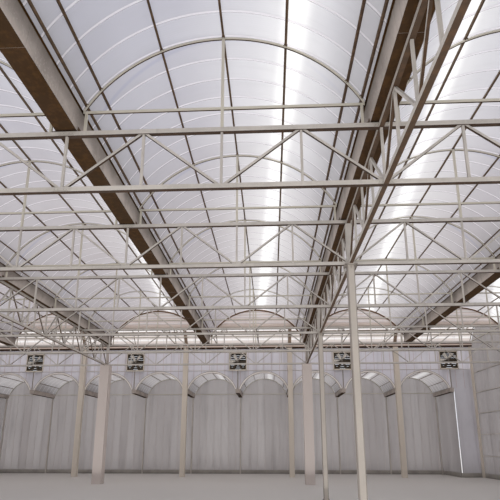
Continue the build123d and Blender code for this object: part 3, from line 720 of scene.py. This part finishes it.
class GREENHOUSE_OT_finishes(bpy.types.Operator):
    """Makes the finishes that the pieces share"""

    bl_idname = "greenhouse.finishes"
    bl_label = "Finishes"

    def execute(self, context):
        colours = context.scene.greenhouse_colours
        steel, shade, paint = colours.steel, colours.steel_shade, colours.column
        # Columns: key, name, colour, painted shade of the faces that look down, its share, wear,
        # places.
        for key, name, tone, under, depth, wear, places in (
            ("steel", "Dull zinc", steel, shade, 0.96, 1.0, None),
            ("girder", "Girder zinc", steel, (0.055, 0.027, 0.011), 0.96, 1.0, None),
            ("purlin", "Purlin tube", (0.23, 0.175, 0.125), (0.075, 0.045, 0.025), 1.0, 1.2, None),
            ("plate", "Bolted plates", darker(steel, 0.45), shade, 0.9, 1.0, None),
            ("brown", "Brown stain", (0.13, 0.085, 0.055), shade, 0.9, 1.0, None),
            ("edge", "Dark brown edge", (0.15, 0.085, 0.045), (0.09, 0.05, 0.028), 0.9, 0.6, None),
            ("rib", "Broad rib", darker(steel, 0.55), (0.26, 0.19, 0.14), 0.9, 1.5, None),
            ("bar", "Joint bars", (0.62, 0.58, 0.57), (0.50, 0.46, 0.46), 0.96, 1.0, None),
            ("strip", "Rosy strips", (0.56, 0.42, 0.40), (0.4, 0.3, 0.29), 0.96, 1.0, None),
            ("dark", "Motor paint", (0.05, 0.045, 0.04), shade, 0.4, 1.0, None),
            ("arch", "Arch tube", (0.66, 0.63, 0.54), shade, 1.0, 0.3, arch_painted_light),
            ("trim", "Arched trims", (0.95, 0.92, 0.89), (0.55, 0.49, 0.44), 0.8, 0.5, trim_places),
            ("column", "Column paint", paint, darker(paint, 0.45), 0.6, 0.5, column_edge_shade_and_paint),
            ("blade", "Fan blades", (0.10, 0.08, 0.06), (0.05, 0.035, 0.025), 0.3, 0.6, blade_painted_light),
            ("casing", "Fan casing", (0.74, 0.68, 0.58), shade, 0.6, 0.6, fan_places),
        ):
            finishes[key] = steel_finish(name, tone, under, depth, wear, places)
        finishes["gutter"] = steel_finish(
            "Gutter zinc", colours.gutter, colours.gutter_shade, 0.98, 2.0,
            gutter_painted_shade_and_light, gutter_sides, 0.06,
        )
        finishes["cap"] = cap_finish("Clear joint caps")
        bright, grey = colours.sheet_bright, colours.wall_sheet
        warm, cool = colours.corridor_sheet, colours.partition_sheet
        for key, name, along, band, plain, strong, far in (
            ("roof", "Roof", "Y", hall_band, colours.sheet_shade, bright, colours.sheet_far),
            ("cross", "Corridor", "X", cross_band, warm, bright, None),
            ("low", "Low roof", "Y", low_band, grey, bright, None),
            ("partition", "Partition", "X", partition_band, cool, bright, None),
            ("end", "Vault end", "X", end_band, (1.0, 0.90, 0.84), (1.0, 1.0, 1.0), None),
            ("wall", "Wall", "X", plain_band, grey, bright, None),
            ("side", "Side wall", "Y", plain_band, grey, bright, None),
        ):
            finishes[key] = sheet_finish(name + " sheet", along, band, plain, strong, far)
        return {"FINISHED"}


def arched_sheets(name, arch, centres, along, axis, finish):
    """Bent sheets in one layer, each slightly full between its joints."""
    middle = arch.skin + arch.sheet / 2
    angles = turns(arch.turn_at(middle))
    stops = []
    for a, b in zip(along, along[1:]):
        stops += [(a, 0.0), ((3 * a + b) / 4, 0.0022)]
        stops += [((a + b) / 2, 0.003), ((a + 3 * b) / 4, 0.0022)]
    stops.append((along[-1], 0.0))
    sweeps = [
        [[arch.point(axis, centre, place, middle + swell, turn) for turn in angles]
         for place, swell in stops]
        for centre in centres
    ]
    return piece(name, sweeps, finish, smooth=60, closed=False)


def joint_bars(name, arch, centres, places, axis, width, inner, finish):
    """Caps over the joints of bent sheets, or narrow bars beside them within."""
    radius = arch.skin - 0.004 if inner else arch.skin + arch.sheet / 2 + 0.0055
    depth = 0.004 if inner else 0.0024
    turn = arch.turn_at(radius) - (0.0 if inner else 0.004)
    sweeps = []
    for centre in centres:
        for place in places:
            middle = place + 0.02 if inner else place
            span = (middle - width / 2, middle + width / 2)
            sweeps.append(bent_bar(arch, centre, radius, span, axis, turn, depth))
    piece(name, sweeps, finish, smooth=40)


class GREENHOUSE_OT_roof_sheets(bpy.types.Operator):
    """Bends the roof sheets over the vaults, with bars at their joints"""

    bl_idname = "greenhouse.roof_sheets"
    bl_label = "Roof sheets"

    def execute(self, context):
        sizes = context.scene.greenhouse_sizes
        hall = joints(ROWS[0] - 0.1, HALL_BACK, "Y", sizes.sheet_width)
        cross = joints(-19.3, 19.3, "X", sizes.sheet_width)
        low = joints(PARTITION + 0.02, LOW_BACK, "Y", sizes.sheet_width)
        for word, node, arch, centres, along, axis, sheet, bar in (
            ("left", "left_roof_sheets", HALL, VAULTS[0:2], hall, "Y", "roof", "cap"),
            ("middle", "middle_roof_sheets", HALL, VAULTS[2:4], hall, "Y", "roof", "cap"),
            ("right", "right_roof_sheets", HALL, VAULTS[4:6], hall, "Y", "roof", "cap"),
            ("corridor", "corridor_roof_sheet", CROSS, [CROSS_Y], cross, "X", "cross", "cap"),
            ("low", "low_roof_sheets", LOW, LOW_VAULTS, low, "Y", "low", "bar"),
        ):
            bent = arched_sheets(word + "_bent_sheets", arch, centres, along, axis, sheet)
            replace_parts(bent, node)
            for part, width, inner, finish in (
                ("_joint_bars", sizes.roof_bar, True, bar),
                ("_cap_bars", sizes.cap_bar, False, "cap"),
            ):
                joint_bars(word + part, arch, centres, along[1:-1], axis, width, inner, finish)
        repaint("purlin", "tall_roof_purlins", "low_purlins")
        return {"FINISHED"}


def purlin_clips(arch, centre, place, axis):
    """Small bent straps that hold the purlins on an arch."""
    sweeps = []
    for lean in arch.leans:
        for side in (-1, 1) if lean else (1,):
            turn = math.radians(lean) * side
            out = Vector((math.sin(turn), math.cos(turn)))
            tangent = Vector((math.cos(turn), -math.sin(turn)))
            for step in (-1, 1):
                loops = []
                for radius in (arch.radius - 0.012, arch.skin - 0.012):
                    spot = out * radius + tangent * step * (arch.purlin / 2 + 0.006)
                    loop = []
                    for a, b in ((-1, -1), (1, -1), (1, 1), (-1, 1)):
                        across = centre + spot.x + tangent.x * 0.004 * a
                        level = arch.level + spot.y + tangent.y * 0.004 * a
                        loop.append(laid(axis, across, place + 0.036 * b, level))
                    loops.append(loop)
                sweeps.append(loops)
    return sweeps


def hall_arch(x, y):
    """An arch over one vault at one row, with its tie, king post and foot posts."""
    crown = HALL.level + HALL.radius - 0.02
    frame_parts = [
        bent_tube(HALL, x, y, "Y"),
        post(x, y, HALL.reach, 0.025, TIE_FOOT, GUTTER_TOP),
        post(x, y, 0.03, 0.0245, GUTTER_FOOT, crown),
    ]
    feet = [post(x + side * 2.84, y, 0.025, 0.025, GUTTER_FOOT, TIE_FOOT) for side in (-1, 1)]
    return frame_parts + feet


class GREENHOUSE_OT_arches(bpy.types.Operator):
    """Bends the arches, with ties, king posts, foot posts and purlin clips"""

    bl_idname = "greenhouse.arches"
    bl_label = "Arches"

    def execute(self, context):
        groups, clips = [], []
        for word, pair in (("left", VAULTS[0:2]), ("middle", VAULTS[2:4]), ("right", VAULTS[4:6])):
            sweeps = []
            for x in pair:
                for y in ROWS:
                    sweeps += hall_arch(x, y)
                    clips += purlin_clips(HALL, x, y, "Y")
            groups.append((word + "_bent_arches", sweeps, "arch", word + "_arches"))
        sweeps = []
        for x in CORRIDOR_ARCHES:
            sweeps.append(bent_tube(CROSS, CROSS_Y, x, "X"))
            sweeps.append(block((x - 0.025, 10.125, 9.8), (x + 0.025, 15.8, CROSS_FOOT)))
            clips += purlin_clips(CROSS, CROSS_Y, x, "X")
        groups.append(("corridor_bent_arches", sweeps, "arch", "corridor_arches"))
        ribs = [bent_tube(CROSS, CROSS_Y, x, "X", 0.125, 0.004) for x in VALLEYS[0::2]]
        groups.append(("corridor_ribs", ribs, "rib", "corridor_arches"))
        sweeps = []
        for x in LOW_VAULTS:
            sweeps.append(bent_tube(LOW, x, LOW_ROW, "Y"))
            sweeps.append(post(x, LOW_ROW, 1.8, 0.025, LOW_FOOT - 0.05, LOW_FOOT))
            clips += purlin_clips(LOW, x, LOW_ROW, "Y")
        groups.append(("low_bent_arches", sweeps, "arch", "low_arches"))
        for name, sweeps, finish, node in groups:
            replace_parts(piece(name, sweeps, finish, smooth=40), node)
        piece("purlin_clips", clips, "brown")
        # Dark brown trims along the ends of the vaults.
        turn, radius = HALL.turn_at(HALL.radius), HALL.radius - 0.02
        span = (ROWS[-1] - 0.045, ROWS[-1] - 0.026)
        trims = [bent_bar(HALL, x, radius, span, "Y", turn, 0.044, 0.004) for x in VAULTS]
        piece("end_arch_trims", trims, "edge", smooth=40)
        return {"FINISHED"}


class GREENHOUSE_OT_trusses(bpy.types.Operator):
    """Finishes the trusses and girders and adds their joint plates and bolts"""

    bl_idname = "greenhouse.trusses"
    bl_label = "Trusses and girders"

    def execute(self, context):
        sizes = context.scene.greenhouse_sizes
        repaint("girder", "gutter_girders", bevel=0.004)
        repaint("steel", *(f"truss_pair_{k}" for k in range(1, 5)), bevel=0.004)
        half_wide, half_high, head = 0.16, 0.038, sizes.bolt * 0.8
        spots = [(x, level) for x in LINES[1:-1] for level in CHORDS]
        plates, bolts = [], []
        for y in ROWS:
            for x, level in spots:
                for side in (-1, 1):
                    face = y + side * 0.05
                    front = face + side * sizes.plate
                    low = (x - half_wide, face, level - half_high)
                    plates.append(block(low, (x + half_wide, front, level + half_high)))
                    for step in (-0.12, -0.06, 0.06, 0.12):
                        bolts += bolt((x + step, front, level), (0, side, 0), head, 0.008)
        piece("chord_joint_plates", plates, "steel", bevel=0.002)
        piece("chord_joint_bolts", bolts, "steel")
        return {"FINISHED"}


class GREENHOUSE_OT_gutters(bpy.types.Operator):
    """Finishes the gutters and adds the hall gutters' seams and saddles"""

    bl_idname = "greenhouse.gutters"
    bl_label = "Gutters"

    def execute(self, context):
        repaint("gutter", "tall_roof_gutters", "low_gutters", bevel=0.006)
        grow, half_seam, half_saddle, edge_off = 0.004, 0.045, 0.06, 0.236
        foot, top = GUTTER_FOOT - grow, GUTTER_TOP - 0.009
        narrow, broad = 0.22 + grow, 0.26 + grow
        seams = []
        for x in LINES[1:-1]:
            for y in ROWS[:-1]:
                middle = y + BAY / 2
                seams.append([
                    [
                        (x - narrow, run, foot), (x + narrow, run, foot),
                        (x + broad, run, top), (x - broad, run, top),
                    ]
                    for run in (middle - half_seam, middle + half_seam)
                ])
        saddles = []
        for x in LINES:
            for y in ROWS:
                for side in (-1, 1):
                    if abs(x + side * 0.3) < HALL_SIDE + 0.2:
                        edge = x + side * edge_off
                        low = (edge, y - half_saddle, GUTTER_FOOT + 0.001)
                        for wide, level in ((0.06, 8.579), (0.008, 8.66)):
                            saddles.append(block(low, (edge + side * wide, y + half_saddle, level)))
        piece("gutter_seams", seams, "gutter", bevel=0.002)
        # The saddles are dark brown, partly as painted shade where a gutter sits on a truss.
        piece("gutter_saddles", saddles, "brown")
        return {"FINISHED"}


def prop_gussets(x, y, level, way, thin):
    """Four upright gussets round a slender column, on its foot or under its head."""
    inner, outer, edge, far = 0.1, 0.165, 0.004, level + way * 0.12
    gussets = []
    for sx, sy in ((-1, 0), (1, 0), (0, -1), (0, 1)):
        near_x, near_y = x + sx * inner, y + sy * inner
        first = (near_x - abs(sy) * thin, near_y - abs(sx) * thin)
        base = (x + sx * outer + abs(sy) * thin, y + sy * outer + abs(sx) * thin)
        top = (near_x + (edge if sx else thin), near_y + (thin if sx else edge))
        gussets.append([flat(first, base, level), flat(first, top, far)])
    return gussets


class GREENHOUSE_OT_columns(bpy.types.Operator):
    """Finishes the columns and adds bands, gussets, head plates and anchor bolts"""

    bl_idname = "greenhouse.columns"
    bl_label = "Columns"

    def execute(self, context):
        sizes = context.scene.greenhouse_sizes
        columns = ("hall", "end_row", "side_wall", "partition")
        repaint("column", *(word + "_columns" for word in columns), bevel=0.008)
        repaint("steel", "gable_posts", bevel=0.004)
        plates, heads, bolts = [], [], []
        for x, y in PROPS:
            for near, far in ((-0.058, -0.05), (0.05, 0.058)):
                heads.append(block((x - 0.09, y + near, 7.31), (x + 0.09, y + far, 8.46)))
            for level, way in ((0.02, 1), (7.18, -1)):
                plates += prop_gussets(x, y, level, way, sizes.plate / 2)
                for dx, dy in SQUARE:
                    spot = (x + dx * 0.14, y + dy * 0.14, level)
                    bolts += bolt(spot, (0, 0, way), sizes.bolt * 1.2, 0.022)
        for x in (-PITCH, PITCH):
            for level in (0.5, 3.6, 6.9):
                plates.append(post(x, ROWS[7], 0.291, 0.291, level - 0.06, level + 0.06))
        for x in VALLEYS[0::2]:
            for level in (0.3, 7.9, 9.3):
                plates.append(
                    block((x - 0.185, 15.675, level - 0.05), (x + 0.185, 16.04, level + 0.05))
                )
        piece("column_stiffeners", plates, "column", bevel=0.002)
        piece("column_heads", heads, "steel", bevel=0.002)
        piece("column_bolts", bolts, "plate")
        return {"FINISHED"}


class GREENHOUSE_OT_walls(bpy.types.Operator):
    """Finishes the outer walls and adds the bars at the joints of their sheets"""

    bl_idname = "greenhouse.walls"
    bl_label = "Outer walls"

    def execute(self, context):
        sizes = context.scene.greenhouse_sizes
        width, half = sizes.sheet_width, sizes.joint_bar / 2
        repaint("wall", "front_wall_sheet", "back_wall_sheet")
        repaint("end", "vault_end_sheets")
        repaint("side", "side_wall_sheets", "low_side_sheets")
        repaint("steel", "front_rails", "side_wall_rails", bevel=0.004)
        bars, caps = [], []

        def joint(axis, run, face, out, low, top):
            """A bar on the inner face of a wall's sheet and a cap on its outer face."""
            outer = face + out * HALL.sheet
            for parts, near, far in (
                (bars, face, face - out * 0.006), (caps, outer, outer + out * 0.008),
            ):
                first = laid(axis, run - half, near, low)
                parts.append(block(first, laid(axis, run + half, far, top)))

        for x in joints(-HALL_SIDE, HALL_SIDE, "X", width):
            off = off_middle(x, HALL_SIDE, PITCH)
            low = DOOR_TOP if abs(x - DOOR_X) < LEAF - 0.05 else KERB_TOP
            joint("Y", x, FRONT, -1, low, HALL.under_sheet(off, GUTTER_TOP))
        for side in (-1, 1):
            for y in joints(ROWS[0], PARTITION, "Y", width):
                top = GUTTER_FOOT - 0.01
                if y > HALL_BACK:
                    top = CROSS.under_sheet(y - CROSS_Y, CROSS_FOOT - 0.01)
                joint("X", y, side * SIDE_FACE, side, KERB_TOP, top)
        for x in joints(VALLEYS[0], VALLEYS[-1], "X", width):
            off = off_middle(x, LOW_SIDE, LOW_PITCH)
            joint("Y", x, LOW_BACK, 1, KERB_TOP, LOW.under_sheet(off, LOW_FOOT))
        piece("wall_joint_bars", bars, "bar")
        piece("wall_cap_bars", caps, "cap")
        return {"FINISHED"}


class GREENHOUSE_OT_doors(bpy.types.Operator):
    """Frames the door leaves and adds their rollers and handles"""

    bl_idname = "greenhouse.doors"
    bl_label = "Doors"

    def execute(self, context):
        sizes = context.scene.greenhouse_sizes
        repaint("wall", "front_door_leaves")
        repaint("steel", "front_door_track", bevel=0.003)
        face, rail, foot = DOOR_FACE, 0.06, 0.012
        parts, bolts = [], []
        for side in (-1, 1):
            low, high = sorted((DOOR_X, DOOR_X + side * LEAF))
            low, high = low + 0.002, high - 0.002
            for z in (foot, 1.2, 2.4, LEAF_TOP - rail):
                parts.append(block((low, face - 0.012, z), (high, face, z + rail)))
            for x in (low, high - rail, (low + high) / 2 - 0.02):
                parts.append(block((x, face - 0.013, foot), (x + rail, face, LEAF_TOP)))
            handle, grip = DOOR_X + side * 0.12, face - 0.05
            parts.append(rod((handle, grip, 0.95), (handle, grip, 1.35), 0.011, 10))
            for z in (0.97, 1.33):
                parts.append(rod((handle, face, z), (handle, grip, z), 0.009, 8))
            for x in (low + 0.3, high - 0.3):
                strap = (x - 0.04, face - 0.018, 3.55)
                parts.append(block(strap, (x + 0.04, face - 0.012, DOOR_TOP)))
                parts.append(rod((x, face - 0.014, 3.69), (x, face - 0.004, 3.69), 0.028, 14))
                bolts += bolt((x, face - 0.018, 3.6), (0, -1, 0), sizes.bolt)
        piece("door_frames", parts, "steel", bevel=0.002)
        piece("door_bolts", bolts, "plate")
        return {"FINISHED"}


class GREENHOUSE_OT_partition(bpy.types.Operator):
    """Finishes the partition and adds its joint bars and the rims of its arched trims"""

    bl_idname = "greenhouse.partition"
    bl_label = "Partition"

    def execute(self, context):
        sizes = context.scene.greenhouse_sizes
        repaint("partition", "partition_sheets", "partition_spandrels")
        repaint("trim", "partition_rails", "partition_posts", bevel=0.003)
        half, face, rail = sizes.joint_bar / 3, PARTITION - 0.006, 7.79
        above_fans, beside_fans, fan_room = (9.251, 9.499), (7.8306, 9.21), 0.72
        bars = []
        for x in joints(-HALL_SIDE, HALL_SIDE, "X", sizes.sheet_width):
            spans = [above_fans]
            if min(abs(x - fan) for fan in FANS) > fan_room:
                spans.insert(0, beside_fans)
            low = LOW_FOOT
            if VALLEYS[0] < x < VALLEYS[-1]:
                off = off_middle(x, LOW_SIDE, LOW_PITCH)
                low = LOW.height(off, TRIM_RADIUS, TRIM_RADIUS, LOW_FOOT)
            if rail - low > 0.05:
                spans.append((low, rail))
            for foot, top in spans:
                bars.append(block((x - half, face, foot), (x + half, PARTITION, top)))
        piece("partition_joint_bars", bars, "strip")
        trims = []
        for x in LOW_VAULTS:
            for inset, depth, front in (
                (0.012, 0.012, 16.04), (0.075, 0.051, 16.052), (0.138, 0.012, 16.04),
            ):
                radius = TRIM_RADIUS - inset
                limit = math.asin(min(1.0, TRIM_HALF / (radius + depth)))
                turn = min(LOW.turn_at(radius + depth), limit)
                trims.append(bent_bar(LOW, x, radius, (front, 16.0999), "Y", turn, depth))
        rims = piece("arched_trim_rims", trims, "trim", smooth=40)
        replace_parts(rims, "partition_arch_trims")
        return {"FINISHED"}


class GREENHOUSE_OT_kerb(bpy.types.Operator):
    """Finishes the kerb with cast concrete"""

    bl_idname = "greenhouse.kerb"
    bl_label = "Kerb"

    def execute(self, context):
        base = context.scene.greenhouse_colours.concrete
        finish = Finish("Cast concrete")
        cloud, grain = finish.noise(1.5, detail=5.0), finish.noise(60.0)
        pores = finish.rise(finish.noise(35.0, detail=1.0), 0.68, 0.78)
        tone = finish.mix(finish.rise(cloud, 0.3, 0.75), base, darker(base, 0.72))
        tone = finish.mix(finish.rise(grain, 0.4, 0.8) * 0.5, tone, darker(base, 1.25))
        foot = finish.fall(finish.z, 0.0, 0.12 + 0.1 * cloud)
        shader = finish.surface(
            base_color=finish.mix(foot * 0.6, tone, darker(base, 0.5)),
            roughness=0.82 + 0.1 * grain,
            normal=finish.bump(grain * 0.5 - pores + cloud, 0.5, 0.004),
        )
        finishes["concrete"] = finish.done(shader)
        repaint("concrete", "kerb", bevel=0.012)
        return {"FINISHED"}


def round_from(middle, angle, radius, depth=0.0):
    """A point round a fan's axis, by its angle from upright, and how deep behind it."""
    out = Vector((math.sin(angle), 0, math.cos(angle)))
    return Vector(middle) + out * radius + Vector((0, depth, 0))


class GREENHOUSE_OT_fans(bpy.types.Operator):
    """Finishes the fans and adds guards, louvres, motor fins and hub caps"""

    bl_idname = "greenhouse.fans"
    bl_label = "Exhaust fans"

    def execute(self, context):
        sizes = context.scene.greenhouse_sizes
        repaint("casing", "fan_housings", bevel=0.004)
        wires, louvres, details = [], [], []
        wire, angles = 0.004, [2 * math.pi * k / 36 for k in range(37)]
        for number, x in enumerate(FANS, start=1):
            rotor = f"fan_rotor_{number}"
            repaint("blade", rotor, bevel=0.0015)
            hub, guard, motor = (x, ROTOR_FACE, FAN_LEVEL), (x, GUARD, FAN_LEVEL), (x, 0, FAN_LEVEL)
            cap = [rod(hub, (x, ROTOR_FACE - 0.0115, FAN_LEVEL), 0.045, 18)]
            for k in range(6):
                spot = round_from(hub, math.radians(60 * k + 30), 0.075)
                cap += bolt(spot, (0, -1, 0), 0.02)
            piece(f"hub_cap_{number}", cap, "plate", body=rotor + "_body")
            for radius in (0.16, 0.32, 0.48, 0.632):
                section = [(radius + wire, 0), (radius, wire), (radius - wire, 0), (radius, -wire)]
                wires.append([[round_from(guard, a, *spot) for spot in section] for a in angles])
            for k in range(8):
                angle = math.pi * k / 4 + math.pi / 8
                ends = [round_from(guard, angle, radius) for radius in (0.1, 0.642)]
                wires.append(rod(*ends, wire, 6))
            for k in range(9):
                foot, top = FAN_LEVEL - 0.662 + 0.15 * k, FAN_LEVEL - 0.538 + 0.15 * k
                louvres.append([
                    [
                        (side, LOUVRE, foot), (side, LOUVRE - 0.003, foot),
                        (side, LOUVRE - 0.013, top), (side, LOUVRE - 0.01, top),
                    ]
                    for side in (x - 0.655, x + 0.655)
                ])
            for dx in (-0.07, 0.07):
                details.append(post(x + dx, 16.31, 0.02, 0.02, FAN_LEVEL - 0.1, FAN_LEVEL - 0.02))
            for k in range(12):
                ends = [round_from(motor, math.radians(30 * k), 0.096, y) for y in MOTOR]
                details.append(rod(*ends, 0.006, 4))
            for dx, dz in SQUARE:
                spot = (x + dx * 0.66, 16.06, FAN_LEVEL + dz * 0.66)
                details += bolt(spot, (0, -1, 0), sizes.bolt)
        piece("fan_guards", wires, "dark", smooth=60)
        piece("fan_louvres", louvres, "dark")
        piece("fan_motor_details", details, "dark")
        return {"FINISHED"}


def add_light(name, kind, energy, tint, turn, place=(0, 0, 0)):
    """A light in the scene."""
    light = bpy.data.lights.new(name, kind)
    light.energy, light.color = energy, tint
    lamp = bpy.data.objects.new(name, light)
    lamp.location, lamp.rotation_euler = place, turn
    bpy.context.scene.collection.objects.link(lamp)
    return lamp


class GREENHOUSE_OT_stage(bpy.types.Operator):
    """Sets the floor, the light and the camera"""

    bl_idname = "greenhouse.stage"
    bl_label = "Stage"

    def execute(self, context):
        scene = context.scene
        scene.view_settings.view_transform = "Standard"
        finish = Finish("Pale floor")
        tone = scene.greenhouse_colours.floor
        tone = finish.mix(finish.noise(0.5) * 0.25, tone, darker(tone, 0.93))
        size, level = 300.0, -0.001
        mesh = bpy.data.meshes.new("floor")
        mesh.from_pydata(flat((-size, -size), (size, size), level), [], [(0, 1, 2, 3)])
        floor = bpy.data.objects.new("floor", mesh)
        floor.data.materials.append(finish.done(finish.surface(base_color=tone, roughness=0.9)))
        scene.collection.objects.link(floor)

        scene.world = bpy.data.worlds.new("Soft sky")
        scene.world.use_nodes = True
        back = scene.world.node_tree.nodes["Background"]
        back.inputs["Color"].default_value = (0.93, 0.95, 1.0, 1.0)
        back.inputs["Strength"].default_value = 1.0

        turn = Vector((0.08, 0.40, 0.91)).to_track_quat("Z", "Y").to_euler()
        sun = add_light("sun", "SUN", 1.5, (1.0, 0.97, 0.92), turn)
        sun.data.angle = math.radians(14)
        for name, place, lean, high, energy in (
            ("floor_fill", (0.0, -5.0, 0.5), 180, 28.0, 1500.0),
            ("entrance_fill", (0.0, -18.8, 4.0), 78, 6.0, 900.0),
        ):
            turn = (math.radians(lean), 0, 0)
            lamp = add_light(name, "AREA", energy, (1.0, 0.98, 0.94), turn, place)
            lamp.data.shape = "RECTANGLE"
            lamp.data.size, lamp.data.size_y = 34.0, high
            lamp.visible_camera = False

        lens = bpy.data.cameras.new("camera")
        lens.lens, lens.sensor_width, lens.shift_y = 33.7, 36.0, 0.1586
        lens.clip_start, lens.clip_end = 0.05, 600.0
        camera = bpy.data.objects.new("camera", lens)
        camera.location = (4.1415, -19.55, 2.3288)
        camera.rotation_euler = (math.radians(103.772), 0.0, math.radians(2.574))
        scene.collection.objects.link(camera)
        scene.camera = camera
        return {"FINISHED"}


class GREENHOUSE_PT_pieces(bpy.types.Panel):
    """Sizes, colours and pieces of the greenhouse"""

    bl_idname = "GREENHOUSE_PT_pieces"
    bl_label = "Arched greenhouse"
    bl_space_type = "VIEW_3D"
    bl_region_type = "UI"
    bl_category = "Greenhouse"

    def draw(self, context):
        for group in (context.scene.greenhouse_sizes, context.scene.greenhouse_colours):
            for name in type(group).__annotations__:
                self.layout.prop(group, name)
        for step in STEPS:
            self.layout.operator(step.bl_idname)


STEPS = (
    GREENHOUSE_OT_finishes,
    GREENHOUSE_OT_roof_sheets,
    GREENHOUSE_OT_arches,
    GREENHOUSE_OT_trusses,
    GREENHOUSE_OT_gutters,
    GREENHOUSE_OT_columns,
    GREENHOUSE_OT_walls,
    GREENHOUSE_OT_doors,
    GREENHOUSE_OT_partition,
    GREENHOUSE_OT_kerb,
    GREENHOUSE_OT_fans,
    GREENHOUSE_OT_stage,
)
CLASSES = (GreenhouseSizes, GreenhouseColours, *STEPS, GREENHOUSE_PT_pieces)


def register():
    """Registers the classes and the groups of sizes and colours."""
    for item in CLASSES:
        bpy.utils.register_class(item)
    bpy.types.Scene.greenhouse_sizes = PointerProperty(type=GreenhouseSizes)
    bpy.types.Scene.greenhouse_colours = PointerProperty(type=GreenhouseColours)


def unregister():
    """Takes the classes and the groups away again."""
    del bpy.types.Scene.greenhouse_colours
    del bpy.types.Scene.greenhouse_sizes
    for item in reversed(CLASSES):
        bpy.utils.unregister_class(item)


def main():
    """Makes every piece in order."""
    register()
    bpy.ops.greenhouse.finishes()
    bpy.ops.greenhouse.roof_sheets()
    bpy.ops.greenhouse.arches()
    bpy.ops.greenhouse.trusses()
    bpy.ops.greenhouse.gutters()
    bpy.ops.greenhouse.columns()
    bpy.ops.greenhouse.walls()
    bpy.ops.greenhouse.doors()
    bpy.ops.greenhouse.partition()
    bpy.ops.greenhouse.kerb()
    bpy.ops.greenhouse.fans()
    bpy.ops.greenhouse.stage()


if __name__ == "__main__":
    main()
